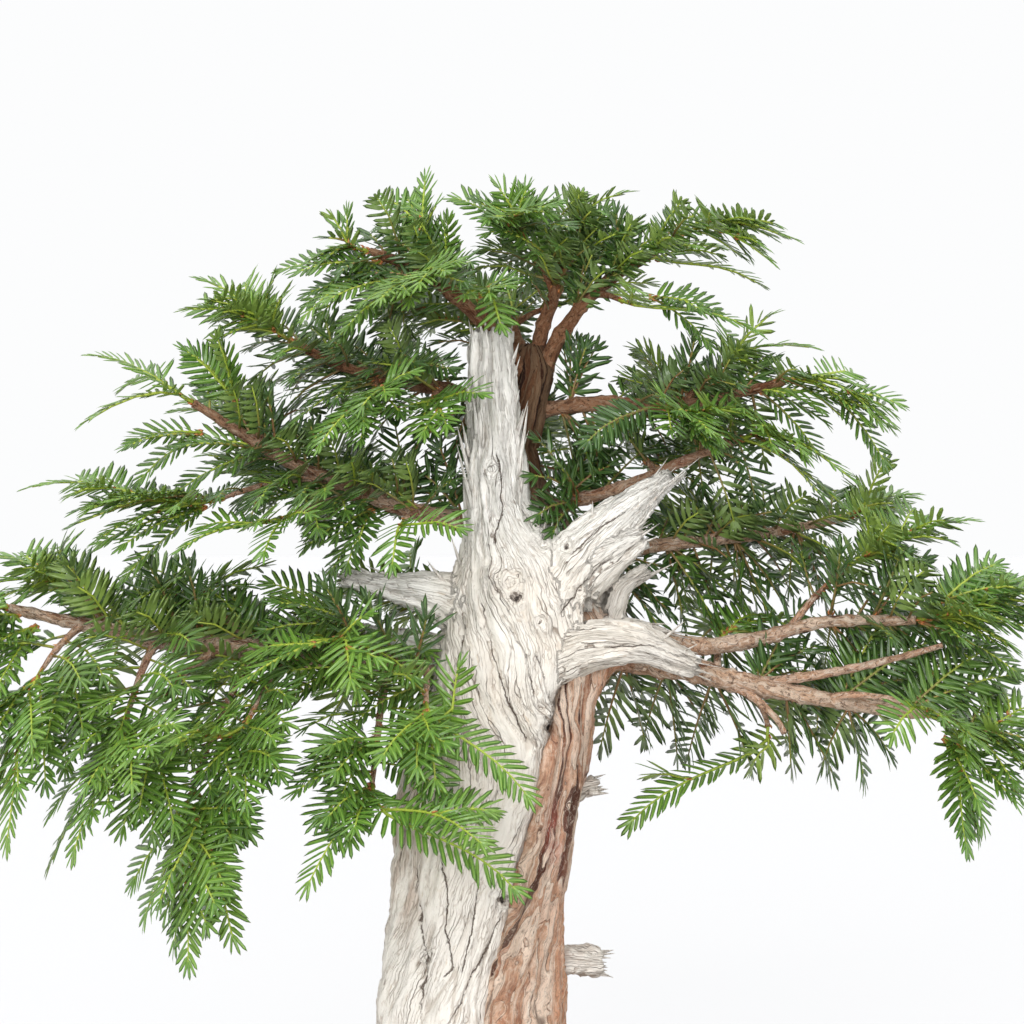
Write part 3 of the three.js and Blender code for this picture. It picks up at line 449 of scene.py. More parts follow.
def smooth(x, low=0.0, high=1.0):
    t = np.clip((x - low) / (high - low), 0, 1)
    return t * t * (3 - 2 * t)


def bell(x, width):
    """1 at 0, and falling to 0 over a few widths."""
    return np.exp(-((x / width) ** 2))


def noise(p, seed=0):
    """Gradient noise, about -1 to 1, at points (n, 3)."""
    cell = np.floor(p).astype(np.int64)
    part = p - cell
    fade = part**3 * (part * (part * 6 - 15) + 10)
    total = np.zeros(len(p))
    for corner in np.ndindex(2, 2, 2):
        at = cell + corner
        n = (at[:, 0] * 73856093) ^ (at[:, 1] * 19349663) ^ (at[:, 2] * 83492791) ^ (seed * 40503 + 77)
        n = ((n ^ (n >> 13)) * 1274126177) & 0x7FFFFFFF
        n = n ^ (n >> 15)
        slope = np.stack([n & 255, (n >> 8) & 255, (n >> 16) & 255], 1) / 127.5 - 1
        weight = np.prod(np.where(corner, fade, 1 - fade), axis=1)
        total += weight * (slope * (part - corner)).sum(1)
    return total * 1.4


def layers(p, octaves, seed=0):
    return sum(noise(p * 2**k + 9.7 * k, seed + k) * 0.5**k for k in range(octaves))


def steps_of(level, low):
    """The level as terraces that rise over the last part of each step, from low to 1."""
    return np.floor(level) + smooth(level - np.floor(level), low, 1.0)


def bent_grain(q, width, first_seed):
    """The grain place pushed a few millimetres sideways."""
    size = (width, width, 50)
    return q + np.stack([noise(q / size, first_seed), noise(q / size, first_seed + 10), 0 * q[:, 0]], 1) * 3


def from_segment(x, z, start, end):
    """Distance to a segment in front view, and the share along it."""
    (x0, z0), (x1, z1) = start, end
    t = np.clip(((x - x0) * (x1 - x0) + (z - z0) * (z1 - z0)) / ((x1 - x0) ** 2 + (z1 - z0) ** 2), 0, 1)
    return np.hypot(x - mix(x0, x1, t), z - mix(z0, z1, t)), t


class Path:
    """A line of points that is read by its arc length."""

    def __init__(self, points):
        self.points = np.asarray(points, float)
        step = np.linalg.norm(np.diff(self.points, axis=0), axis=1)
        self.sums = np.concatenate([[0], np.cumsum(step)])
        self.length = self.sums[-1]

    def at(self, d):
        d = np.clip(d, 0, self.length)
        return np.stack([np.interp(d, self.sums, self.points[:, k]) for k in range(3)], -1)

    def tangent(self, d):
        near = min(1.0, self.length * 0.05)
        d = np.clip(d, 0, self.length)
        return unit(self.at(d + near) - self.at(d - near))

    def across(self, d, wanted):
        """Point, tangent, normal close to the wanted one, and side."""
        point, tangent = self.at(d), self.tangent(d)
        normal = unit(wanted - (tangent @ wanted)[..., None] * tangent)
        return point, tangent, normal, np.cross(tangent, normal)

    def frames(self, d, wanted):
        """Points, tangents, normals that follow from one to the next, and sides."""
        points, tangents = self.at(d), self.tangent(d)
        normals, normal = [], np.asarray(wanted, float)
        for tangent in tangents:
            normal = unit(normal - tangent * (normal @ tangent))
            normals.append(normal)
        normals = np.array(normals)
        return points, tangents, normals, np.cross(tangents, normals)


def catmull(points, steps=20):
    p = np.asarray(points, float)
    p = np.vstack([2 * p[0] - p[1], p, 2 * p[-1] - p[-2]])
    out = []
    u = np.linspace(0, 1, steps, endpoint=False)[:, None]
    for k in range(len(p) - 3):
        p0, p1, p2, p3 = p[k : k + 4]
        d0, d1, d2 = (np.linalg.norm(b - a) ** 0.5 for a, b in ((p0, p1), (p1, p2), (p2, p3)))
        t1 = ((p1 - p0) / d0 - (p2 - p0) / (d0 + d1) + (p2 - p1) / d1) * d1
        t2 = ((p2 - p1) / d1 - (p3 - p1) / (d1 + d2) + (p3 - p2) / d2) * d1
        out.append(p1 + t1 * u + (3 * (p2 - p1) - 2 * t1 - t2) * u**2 + (2 * (p1 - p2) + t1 + t2) * u**3)
    return Path(np.vstack([*out, p[-2]]))


def bezier(*points, steps=40):
    t = np.linspace(0, 1, steps)[:, None]
    last = len(points) - 1
    weights = [math.comb(last, i) * t**i * (1 - t) ** (last - i) for i in range(last + 1)]
    return Path(sum(weight * np.asarray(point, float) for weight, point in zip(weights, points)))


# Meshes
class Body:
    """Points, faces and point marks (4 numbers a point) gathered for one mesh."""

    def __init__(self):
        self.points, self.faces, self.marks, self.slots, self.count = [], [], [], [], 0
        self.grains, self.kinds = [], []

    def add(self, points, faces, marks=(0, 0, 0, 0), slot=0):
        """faces is a list of (m, corners) arrays."""
        points = np.asarray(points, float).reshape(-1, 3)
        self.points.append(points)
        self.marks.append(np.broadcast_to(np.asarray(marks, float), (len(points), 4)))
        for some in faces:
            self.faces.append(np.asarray(some) + self.count)
            self.slots.append(np.full(len(some), slot))
        self.count += len(points)

    def add_copies(self, points, faces, marks, slot=0):
        """Many pieces of the same faces: points (n, corners, 3), and marks (n, corners, 4)."""
        shift = (np.arange(len(points)) * points.shape[1])[:, None, None]
        faces = [(np.array(some)[None] + shift).reshape(-1, len(some[0])) for some in faces]
        self.add(points, faces, marks.reshape(-1, 4), slot)

    def build(self, name, materials):
        mesh = bpy.data.meshes.new(name)
        points = np.vstack(self.points) * MM
        mesh.vertices.add(len(points))
        mesh.vertices.foreach_set("co", points.astype(np.float32).ravel())
        corners = np.concatenate([f.ravel() for f in self.faces])
        totals = np.concatenate([np.full(len(f), f.shape[1]) for f in self.faces])
        mesh.loops.add(len(corners))
        mesh.loops.foreach_set("vertex_index", corners.astype(np.int32))
        mesh.polygons.add(len(totals))
        starts = np.concatenate([[0], np.cumsum(totals)[:-1]])
        mesh.polygons.foreach_set("loop_start", starts.astype(np.int32))
        mesh.polygons.foreach_set("material_index", np.concatenate(self.slots).astype(np.int32))
        mesh.update(calc_edges=True)
        mark = mesh.attributes.new("mark", "FLOAT_COLOR", "POINT")
        mark.data.foreach_set("color", np.vstack(self.marks).astype(np.float32).ravel())
        if self.kinds:
            # An edge between points of one kind is sharp
            ends = np.empty(len(mesh.edges) * 2, np.int32)
            mesh.edges.foreach_get("vertices", ends)
            kinds = np.concatenate(self.kinds)[ends.reshape(-1, 2)]
            edge = mesh.attributes.new("sharp_edge", "BOOLEAN", "EDGE")
            edge.data.foreach_set("value", (kinds[:, 0] == kinds[:, 1]) & (kinds[:, 0] > 0))
        else:
            mesh.shade_smooth()
        for material in materials:
            mesh.materials.append(material)
        piece = bpy.data.objects.new(name, mesh)
        bpy.context.scene.collection.objects.link(piece)
        return piece


def add_vectors(piece, name, vectors):
    made = piece.data.attributes.new(name, "FLOAT_VECTOR", "POINT")
    made.data.foreach_set("vector", vectors.astype(np.float32).ravel())


def place(piece, slot, *nodes):
    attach(piece, "root")
    if nodes:
        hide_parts(*nodes)


def loft(rings, closed=True):
    """Points and quads of a skin over rings (n, sides, 3) that run anticlockwise seen from the last ring."""
    n, sides = rings.shape[:2]
    i, j = np.meshgrid(np.arange(n - 1), np.arange(sides), indexing="ij")
    a, b = i * sides + j, i * sides + (j + 1) % sides
    faces = [np.stack([a, b, b + sides, a + sides], -1).reshape(-1, 4)]
    if closed:
        faces += [np.arange(sides)[None, ::-1], np.arange(sides)[None] + (n - 1) * sides]
    return rings.reshape(-1, 3), faces


def tube_rings(path, radius, sides, count, wanted):
    """Rings along a path; radius is a function of share (count, 1) and angle (1, sides)."""
    d = np.linspace(0, path.length, count)
    points, _, normals, sideways = path.frames(d, wanted)
    angle = 2 * np.pi * np.arange(sides)[None] / sides
    r = np.broadcast_to(radius(d[:, None] / path.length, angle), (count, sides))
    spoke = normals[:, None] * np.cos(angle)[..., None] + sideways[:, None] * np.sin(angle)[..., None]
    return points[:, None] + spoke * r[..., None]


def remeshed(bodies, voxel, rounds):
    """Joins closed skins into one even skin of about the voxel's size: points, quads and normals."""
    whole = Body()
    for points, faces in bodies:
        whole.add(points, faces)
    ob = whole.build("rough", [])
    mod = ob.modifiers.new("remesh", "REMESH")
    mod.mode, mod.voxel_size, mod.adaptivity = "VOXEL", voxel * MM, 0
    relax = ob.modifiers.new("relax", "SMOOTH")
    relax.factor, relax.iterations = 0.5, rounds
    mesh = bpy.data.meshes.new_from_object(ob.evaluated_get(bpy.context.evaluated_depsgraph_get()))
    found = []
    for items, field, width, kind in (
        (mesh.vertices, "co", 3, np.float32), (mesh.loops, "vertex_index", 1, np.int32),
        (mesh.vertices, "normal", 3, np.float32),
    ):
        values = np.empty(len(items) * width, kind)
        items.foreach_get(field, values)
        found.append(values)
    old = ob.data
    bpy.data.objects.remove(ob)
    for made in (old, mesh):
        bpy.data.meshes.remove(made)
    points, faces, normals = found
    points, normals = (values.reshape(-1, 3).astype(float) for values in (points, normals))
    return points / MM, faces.reshape(-1, 4), normals


# Materials
class Nodes:
    """A new material, with short calls for its nodes."""

    def __init__(self, name):
        self.material = bpy.data.materials.new(name)
        self.material.use_nodes = True
        self.tree = self.material.node_tree
        self.shader = next(n for n in self.tree.nodes if n.type == "BSDF_PRINCIPLED")

    def put(self, socket, value):
        if isinstance(value, bpy.types.NodeSocket):
            self.tree.links.new(value, socket)
        elif value is not None:
            socket.default_value = value

    def new(self, kind, inputs, **settings):
        """A node with a value or a link for each input, by name or by number."""
        node = self.tree.nodes.new("ShaderNode" + kind)
        for name, value in settings.items():
            setattr(node, name, value)
        for key, value in inputs.items():
            self.put(node.inputs[key], value)
        return node

    def vector(self, name):
        return self.new("Attribute", {}, attribute_name=name).outputs["Vector"]

    def marks(self):
        """The four numbers of the mark attribute."""
        node = self.new("Attribute", {}, attribute_name="mark")
        return *self.new("SeparateColor", {0: node.outputs["Color"]}).outputs, node.outputs["Alpha"]

    def where(self):
        return self.new("TexCoord", {}).outputs["Object"]

    def parts(self, vector):
        return self.new("SeparateXYZ", {0: vector}).outputs

    def math(self, kind, *values):
        return self.new("Math", dict(enumerate(values)), operation=kind).outputs[0]

    def times(self, a, b):
        return self.math("MULTIPLY", a, b)

    def plus(self, a, b):
        return self.math("ADD", a, b)

    def range(self, value, low, high, to_low=0.0, to_high=1.0):
        """The value eased from between low and high to between to_low and to_high."""
        inputs = dict(enumerate((value, low, high, to_low, to_high)))
        return self.new("MapRange", inputs, interpolation_type="SMOOTHSTEP").outputs[0]

    def scaled(self, vector, scale, place):
        scale = scale if isinstance(scale, tuple) else (scale, scale, scale)
        return self.new("Mapping", {"Vector": vector, "Scale": scale, "Location": place}).outputs[0]

    def noise(self, vector, scale, detail=4.0, rough=0.55, warp=0.0, place=(0, 0, 0)):
        inputs = {"Vector": self.scaled(vector, scale, place), "Scale": 1.0}
        inputs |= {"Detail": detail, "Roughness": rough, "Distortion": warp}
        return self.new("TexNoise", inputs).outputs["Fac"]

    def warped(self, vector, scale, amount):
        """The vector pushed about by noise."""
        node = self.new("TexNoise", {"Vector": vector, "Scale": scale, "Detail": 2})
        inputs = {0: node.outputs["Color"], 1: (amount, amount, amount), 2: vector}
        return self.new("VectorMath", inputs, operation="MULTIPLY_ADD").outputs[0]

    def chance(self, value):
        """A random number for each value."""
        return self.new("TexWhiteNoise", {"W": value}, noise_dimensions="1D").outputs["Value"]

    def edges(self, vector, scale, place=(0, 0, 0)):
        """Distance to the nearest edge between cells."""
        inputs = {"Vector": self.scaled(vector, scale, place), "Scale": 1.0}
        return self.new("TexVoronoi", inputs, feature="DISTANCE_TO_EDGE").outputs["Distance"]

    def blend(self, share, a, b, kind="MIX"):
        a, b = ((*value, 1) if isinstance(value, tuple) else value for value in (a, b))
        inputs = {"Factor": share, 6: a, 7: b}
        return self.new("Mix", inputs, data_type="RGBA", blend_type=kind, clamp_factor=True).outputs[2]

    def coats(self, colour, *coats):
        """The colour under coats: the value that a coat follows, its range and its tone."""
        for value, span, tone in coats:
            colour = self.blend(self.range(value, *span), colour, tone)
        return colour

    def ramp(self, value, stops):
        node = self.new("ValToRGB", {0: value})
        elements = node.color_ramp.elements
        while len(elements) < len(stops):
            elements.new(0.5)
        for element, (at, colour) in zip(elements, stops):
            element.position, element.color = at, (*colour, 1)
        return node.outputs[0]

    def bump(self, height, distance, strength=1.0, under=None):
        inputs = {"Height": height, "Distance": distance, "Strength": strength, "Normal": under}
        return self.new("Bump", inputs).outputs[0]

    def finish(self, colour, roughness, normal, specular=0.5):
        """Sets the shader's inputs; gives the material."""
        names = ("Base Color", "Roughness", "Normal", "Specular IOR Level")
        for name, value in zip(names, (colour, roughness, normal, specular)):
            self.put(self.shader.inputs[name], value)
        return self.material


# Wood
def column_rings(rows, sides=80, step=3.0):
    rows = np.array(rows, float)
    z = np.linspace(rows[0, 0], rows[-1, 0], int((rows[-1, 0] - rows[0, 0]) / step) + 1)
    x, y, w, d = (np.interp(z, rows[:, 0], rows[:, k])[:, None] for k in range(1, 5))
    z = z[:, None]
    angle = 2 * np.pi * np.arange(sides)[None] / sides
    fluting = 1 + 0.035 * np.sin(5 * angle + z / 60) + 0.02 * np.sin(9 * angle - z / 35)
    return np.stack([x + w * fluting * np.cos(angle), y + d * fluting * np.sin(angle), z + 0 * angle], -1)


def along(radii, share):
    """The radius at a share of a gnarl's length."""
    return np.interp(share * (len(radii) - 1), np.arange(len(radii)), np.array(radii, float))


def gnarl_rings(gnarl, sides=20):
    points, radii = gnarl
    path = catmull(points)
    return tube_rings(path, lambda s, a: along(radii, s), sides, int(path.length / 3) + 2, FRONT)


def sliver(start, direction, length, width, seed):
    """A torn fibre: a thin bent blade that ends in a point."""
    start, direction = np.asarray(start, float), unit(np.asarray(direction, float))
    bend = (draw(seed + np.array([0.1, 1.3, 2.7])) - 0.5) * length * 0.34
    middle, tip = (start + direction * length * share + bend * more for share, more in ((0.5, 1), (1, 1.5)))
    path = bezier(start - direction * 5, middle, tip, steps=8)

    def radius(s, a):
        return width * (1 - s**1.5) * (0.3 + 0.7 * np.abs(np.cos(a))) + 0.1

    return loft(tube_rings(path, radius, 5, 5, (draw(seed) - 0.5, -1, 0.3)))


class Grain:
    """Where a point lies on a trunk or a gnarl: how far out, and its place along and around the grain."""

    def __init__(self, columns, gnarls):
        self.columns = [np.array(rows, float) for rows in columns]
        self.gnarls = []
        for points, radii in gnarls:
            path = catmull(points)
            d = np.arange(0, path.length, 2.0)
            at, _, normals, sideways = path.frames(d, FRONT)
            self.gnarls.append((d, at, normals, sideways, along(radii, d / path.length)))

    def read(self, p):
        """One (rel, q) for each column and gnarl."""
        out = []
        for k, rows in enumerate(self.columns):
            x, y, w, d = (np.interp(p[:, 2], rows[:, 0], rows[:, c]) for c in range(1, 5))
            u, v = (p[:, 0] - x) / w, (p[:, 1] - y) / d
            beyond = np.maximum(0, np.maximum(rows[0, 0] - p[:, 2], p[:, 2] - rows[-1, 0])) / 12
            angle = np.arctan2(v, u) - np.interp(p[:, 2], TWIST_Z, TWIST)
            mean = 0.5 * (rows[:, 3].mean() + rows[:, 4].mean())
            q = np.stack([np.cos(angle) * mean, np.sin(angle) * mean, p[:, 2] + 900 * k], 1)
            out.append((np.hypot(u, v) + beyond, q))
        for k, (d, at, normals, sideways, radii) in enumerate(self.gnarls):
            best = np.full(len(p), np.inf)
            index = np.zeros(len(p), int)
            for i in range(len(d)):
                far = ((p - at[i]) ** 2).sum(1)
                nearer = far < best
                best[nearer], index[nearer] = far[nearer], i
            away = p - at[index]
            angle = np.arctan2((away * sideways[index]).sum(1), (away * normals[index]).sum(1))
            mean = radii.mean() * 1.2
            q = np.stack([np.cos(angle) * mean, np.sin(angle) * mean, d[index] + 400 * (k + 3)], 1)
            out.append((np.sqrt(best) / radii[index], q))
        return out


def blend_grain(found, height, place):
    """Mixes the heights of all columns and gnarls by nearness, and keeps the grain place of the nearest."""
    rel = np.stack([r for r, _ in found])
    weight = np.exp(-5 * (rel - rel.min(0)))
    total = np.zeros((len(rel[0]), 3))
    for k, (_, q) in enumerate(found):
        near = weight[k] > 0.02
        if near.any():
            total[near] += weight[k][near, None] * height(q[near], k)
    # The grains of neighbours run into one another like fibres
    fray = np.stack([0.13 * noise(place / (3.2, 3.2, 11), 400 + 3 * k) for k in range(len(rel))])
    nearest = (rel + fray).argmin(0)
    q = np.take_along_axis(np.stack([q for _, q in found]), nearest[None, :, None], 0)[0]
    return total / weight.sum(0)[:, None], q


def near_line(x, z, points):
    """Signed distance to a line of points, and the share along it."""
    best, sign, share = np.full(len(x), np.inf), np.ones(len(x)), np.zeros(len(x))
    for i, ((x0, z0), (x1, z1)) in enumerate(zip(points, points[1:])):
        far, t = from_segment(x, z, (x0, z0), (x1, z1))
        side = np.where((x - x0) * (z1 - z0) - (z - z0) * (x1 - x0) > 0, 1.0, -1.0)
        nearer = far < best
        best, sign = np.where(nearer, far, best), np.where(nearer, side, sign)
        share = np.where(nearer, (i + t) / (len(points) - 1), share)
    return best * sign, share


def torn_ends():
    """Slivers at the ends of the snags, round the top of the spire and along its edges."""
    made = []
    for k, (points, radii) in enumerate(SNAGS):
        path = catmull(points)
        # The stubs have short blunt slivers
        stub = k >= len(SNAGS) - 2
        reach, shortest, longest, lean, width = (1.5, 2, 7, 0.2, 1.6) if stub else (18, 6, 12, 0.12, 0.9)
        for i in range(12):
            seed = 31 * k + 2.3 * i
            d = path.length - reach * draw(seed)
            point, tangent, normal, side = path.across(d, FRONT)
            turn = 2 * np.pi * (i / 12 + 0.1 * draw(seed + 3))
            out = normal * np.cos(turn) + side * np.sin(turn)
            start = point + out * float(along(radii, d / path.length)) * (0.55 + 0.4 * draw(seed + 5))
            length = shortest + longest * draw(seed + 1)
            wide = width + draw(seed + 2) * (0.8 if radii[-1] < 3.5 else 1.5)
            made.append(sliver(start, tangent + lean * out, length, wide, seed))
    for i in range(26):
        turn = 2 * np.pi * i / 26
        out = np.array([math.cos(turn), 0.75 * math.sin(turn), 0])
        start = np.array([-14, 0, 562]) + out * (10.5 - 5 * draw(i * 1.7)) + UP * 12 * draw(i + 0.3)
        direction = [0.14 * out[0] - 0.03, 0.1 * out[1], 1]
        made.append(sliver(start, direction, 6 + 13 * draw(i * 3.7 + 1), 1.2 + 1.4 * draw(i + 9), i))
    for i, (x, y, z, lean, length) in enumerate(SLIVERS):
        width = 1.1 + 0.04 * length + 0.9 * draw(i + 40)
        made.append(sliver([x, y, z], [lean, -0.12, 1], length, width, i + 50))
    return made


def make_deadwood():
    gnarls = SNAGS + DEAD_ROOTS
    bodies = [loft(column_rings(DEAD_TRUNK))] + [loft(gnarl_rings(row)) for row in gnarls]
    points, faces, normals = remeshed(bodies, DEADWOOD_FACE, 2)
    x, y, z = points.T
    front = smooth(-normals[:, 1], -0.1, 0.35)

    # The grain runs round the knots
    bent = points.copy()
    for knot_x, knot_z, radius, _, _ in KNOTS:
        dx, dz = x - knot_x, z - knot_z
        far = np.hypot(dx, dz)
        bent[:, 0] -= front * dx / (far + 1) * radius * 0.75 * bell(far, 1.5 * radius)

    def height(q, k):
        q = bent_grain(q, 22, 5 + k)
        broad = layers(q / (15, 15, 120), 2, 40) * 2.8
        ridges = (0.5 - np.abs(noise(q / (8, 8, 80), 50))) * 1.9 + noise(q / (3.6, 3.6, 40), 60) * 0.8
        # Layers that broke off leave ledges
        torn = noise(q / (5, 5, 16), 66) * 0.7 + 1.1 * steps_of(layers(q / (9, 9, 34), 2, 68) * 2.6, 0.8)
        groove = bell(noise(q / (8.5, 8.5, 90), 70), 0.1) * smooth(noise(q / (22, 22, 46), 80), -0.1, 0.3)
        return np.stack([broad + ridges + torn - 1.9 * groove, groove, 0.5 + 0.12 * (ridges + broad)], 1)

    made, q = blend_grain(Grain([DEAD_TRUNK], gnarls).read(bent), height, points)
    rise, groove, level = made.T
    hole, knot = np.zeros(len(points)), np.full(len(points), 3.0)
    for i, (knot_x, knot_z, radius, hole_radius, depth) in enumerate(KNOTS):
        wobble = 1 + 0.5 * noise(points / 4.5, 90 + i) + 0.5 * noise(points / 2.2, 97 + i)
        far = np.hypot(x - knot_x, (z - knot_z) / 1.25) * wobble
        inside = front * smooth(-far, -radius * 1.15, -radius * 0.8)
        swirl = 0.7 * np.cos(2 * np.pi * far / 4.2) + 1.4 * noise(points / 4, 95 + i)
        rise = mix(rise, swirl, inside * 0.8) + front * 1.7 * bell(far - radius, 0.33 * radius)
        rise -= 0.8 * depth * front * bell(far, hole_radius)
        hole = np.maximum(hole, front * bell(far, 1.7 * hole_radius))
        knot = np.where(front > 0.2, np.minimum(knot, far / radius), knot)
        groove *= 1 - 0.8 * inside
    # Cracks are kept as signed distances, so that the material can draw them thin
    crack, close = np.full(len(points), 9.0), np.zeros(len(points))
    for i, line in enumerate(CRACKS):
        far, share = near_line(x + 1.6 * noise(points / (9, 9, 12), 120 + i), z, line)
        from_end = np.minimum(share, 1 - share)
        rise -= 1.5 * front * bell(far, 0.8) * smooth(from_end, 0, 0.08)
        nearer = (np.abs(far) < np.abs(crack)) & (front > 0.1)
        crack = np.where(nearer, far, crack)
        close = np.where(nearer, smooth(-np.abs(far), -3.0, -1.8) * smooth(from_end, 0, 0.06), close)
    for depth, width, line in FOLDS:
        far, share = near_line(x + 2.5 * noise(points / (14, 14, 24), 150), z, line)
        rise -= depth * front * bell(far, width) * smooth(np.minimum(share, 1 - share), 0, 0.2)
    # The bark shows between the trunk and the small horn on the right
    horn = 11 * smooth(x, 43, 48) * smooth(z, 393, 400) * smooth(-z, -424, -415)
    rise -= horn * (q[:, 2] < 900) * (y < 10)
    # The spire's outline is ragged
    ragged = smooth(z, 425, 465) * (np.abs(x + 10) < 30)
    rise += ragged * (1.7 * noise(points / (8, 8, 22), 170) + 1.1 * noise(points / (3.4, 3.4, 8), 171))
    # The two stubs on the right are knobby
    stub = np.maximum(smooth(-np.abs(z - 187), -22, -14), smooth(-np.abs(z - 294), -20, -12))
    knobs = 3.4 * noise(points / 6.5, 160) + 1.3 * noise(points / 3, 161) - 2.2 * smooth(x, 48, 58)
    rise += smooth(x, 22, 30) * stub * knobs
    # The broken ends are jagged
    spire = Path([[-14, 0, 560], [-14, 0, 580]])
    for path, radius in [(catmull(line), radii[-1]) for line, radii in SNAGS] + [(spire, 12)]:
        end, ahead = path.at(path.length), path.tangent(path.length)
        beyond = (points - end) @ ahead
        off = np.linalg.norm(points - end - beyond[:, None] * ahead, axis=1)
        cap = smooth(beyond, -7, -1) * (off < radius * 1.5 + 4) * np.clip(normals @ ahead, 0, 1)
        rise += cap * (3.2 * noise(points / 2.7, 140) + 2.0 * noise(points / 5.5, 141))
    points = points + normals * rise[:, None]
    x, y, z = points.T
    tan = smooth(-x, 40, 62) * smooth(z, 190, 235) * smooth(-z, -330, -290)
    tan = np.maximum(tan, smooth(y, -6, 14) * smooth(-z, -420, -300) * 0.7)
    tan = np.maximum(tan, smooth(-z, -175, -110) * 0.8)
    body = Body()
    body.add(points, [faces], np.stack([groove, hole, tan, level], 1).clip(0, 1))
    grains, lines = [q], [np.stack([crack.clip(-4, 4), close, knot], 1)]
    for i, (points, faces) in enumerate(torn_ends()):
        body.add(points, faces, (0.15 * draw(i), 0, 0.35 * draw(i + 0.5), 0.6))
        grains.append(points + 7.0 * i)
        lines.append(np.tile([4.0, 0.0, 3.0], (len(points), 1)))
    piece = body.build("weathered_deadwood", [deadwood_material()])
    add_vectors(piece, "grain", np.vstack(grains) * MM)
    add_vectors(piece, "lines", np.vstack(lines))
    place(piece, "bleached_wood", "deadwood")


def deadwood_material():
    """Bleached wood. Marks: groove, hole, tan, height. Lines: crack, nearness to it, place in a knot."""
    n = Nodes("bleached_wood")
    groove, hole, tan, level = n.marks()
    crack, close, knot = n.parts(n.vector("lines"))
    where = n.where()
    left, _, high = n.parts(where)
    grain = n.warped(n.vector("grain"), 90, 0.0035)
    streaks = n.noise(grain, (560, 560, 24), 6, 0.62)
    fibres = n.noise(grain, (1700, 1700, 44), 4, 0.65)
    clouds = n.noise(where, 30, 4, 0.6)
    grit = n.noise(where, 900, 4, 0.7)
    patches = n.noise(grain, (150, 150, 28), 4, 0.6)
    specks = n.noise(grain, (300, 300, 60), 5, 0.65, place=(9, 4, 2))
    tatters = n.noise(grain, (420, 420, 110), 5, 0.7, place=(7, 7, 1))
    colour = n.ramp(streaks, [
        (0.26, (0.50, 0.425, 0.345)), (0.38, (0.70, 0.645, 0.565)), (0.5, (0.775, 0.725, 0.65)),
        (0.76, (0.85, 0.805, 0.735)),
    ])
    warm = n.blend(n.range(clouds, 0.35, 0.7), (0.82, 0.785, 0.73), (0.78, 0.70, 0.60))
    colour = n.blend(0.32, colour, warm)
    # Painted light: paler high up and on the left snag, to make up for the shade that the crown casts there
    snag_painted_light = n.times(n.range(left, -0.035, -0.055, 0, 0.85), n.range(high, 0.37, 0.39))
    pale = n.math("MAXIMUM", n.range(high, 0.42, 0.47, 0, 0.85), snag_painted_light)
    colour = n.blend(n.times(pale, n.range(streaks, 0.3, 0.42, 0.25, 1)), colour, (0.95, 0.925, 0.87))
    # Painted light: paler low down, to make up for the shade that the leafage casts on the foot
    colour = n.coats(colour, (high, (0.30, 0.20, 0, 0.35), (0.93, 0.895, 0.84)))
    tanned = n.blend(n.range(streaks, 0.3, 0.7), (0.40, 0.27, 0.20), (0.74, 0.64, 0.55))
    colour = n.blend(n.times(tan, n.range(patches, 0.38, 0.62, 0.05, 0.75)), colour, tanned)
    colour = n.coats(colour, (specks, (0.62, 0.72, 0, 0.45), (0.56, 0.40, 0.25)))
    # Broken checks along the grain, wide ones and fine ones
    opening = n.noise(grain, (110, 110, 15), 4, 0.6, place=(3, 1, 7))
    wide = n.range(n.edges(grain, (270, 270, 15)), 0.0, 0.045, 1, 0)
    wide = n.times(wide, n.range(opening, 0.5, 0.6))
    fine = n.range(n.edges(grain, (640, 640, 34), (5, 2, 3)), 0.0, 0.08, 1, 0)
    fine = n.times(fine, n.range(patches, 0.4, 0.58))
    colour = n.blend(n.times(fine, 0.5), colour, (0.42, 0.325, 0.25))
    colour = n.blend(n.times(wide, 0.8), colour, (0.20, 0.145, 0.105))
    # Torn layers darker, and painted shade in the low places and the grooves
    colour = n.coats(
        colour,
        (tatters, (0.3, 0.4, 0.5, 0.0), (0.46, 0.37, 0.29)),
        (level, (0.2, 0.42, 0.3, 0.0), (0.54, 0.455, 0.37)),
        (groove, (0.45, 0.95, 0, 0.4), (0.34, 0.26, 0.19)),
    )
    # Rings in the knots, the ragged holes and the thin long cracks
    ring = n.math("FRACT", n.math("MULTIPLY_ADD", knot, 3.4, n.times(clouds, 2.2)))
    ring = n.times(n.range(ring, 0.0, 0.16, 1, 0), n.range(knot, 0.8, 1.15, 0.6, 0))
    colour = n.blend(ring, colour, (0.33, 0.25, 0.185))
    hole = n.plus(hole, n.math("MULTIPLY_ADD", n.noise(where, 420, 4, 0.7), 1.5, -0.75))
    colour = n.coats(
        colour, (hole, (0.5, 0.68, 0, 0.85), (0.24, 0.20, 0.17)), (hole, (0.72, 0.9), (0.06, 0.048, 0.042)),
    )
    wander = n.math("MULTIPLY_ADD", n.noise(where, 240, 4, 0.6), 3.4, -1.7)
    crack = n.range(n.math("ABSOLUTE", n.plus(crack, wander)), 0.1, 0.62, 1, 0)
    crack = n.times(crack, n.times(close, n.range(clouds, 0.36, 0.5, 0.25, 1)))
    colour = n.blend(n.times(crack, 0.92), colour, (0.13, 0.09, 0.065))
    height = n.plus(n.times(streaks, 0.6), n.times(fibres, 0.35))
    height = n.math("SUBTRACT", height, n.plus(n.times(wide, 0.6), n.times(fine, 0.3)))
    height = n.math("SUBTRACT", height, n.plus(crack, n.times(ring, 0.5)))
    folds = n.plus(n.noise(grain, (190, 190, 26), 4, 0.6, place=(1, 6, 2)), n.times(tatters, 0.4))
    folds = n.bump(n.plus(folds, n.times(grit, 0.12)), 0.0030, 0.8)
    return n.finish(colour, 0.88, n.bump(height, 0.0015, 1.0, folds), 0.2)


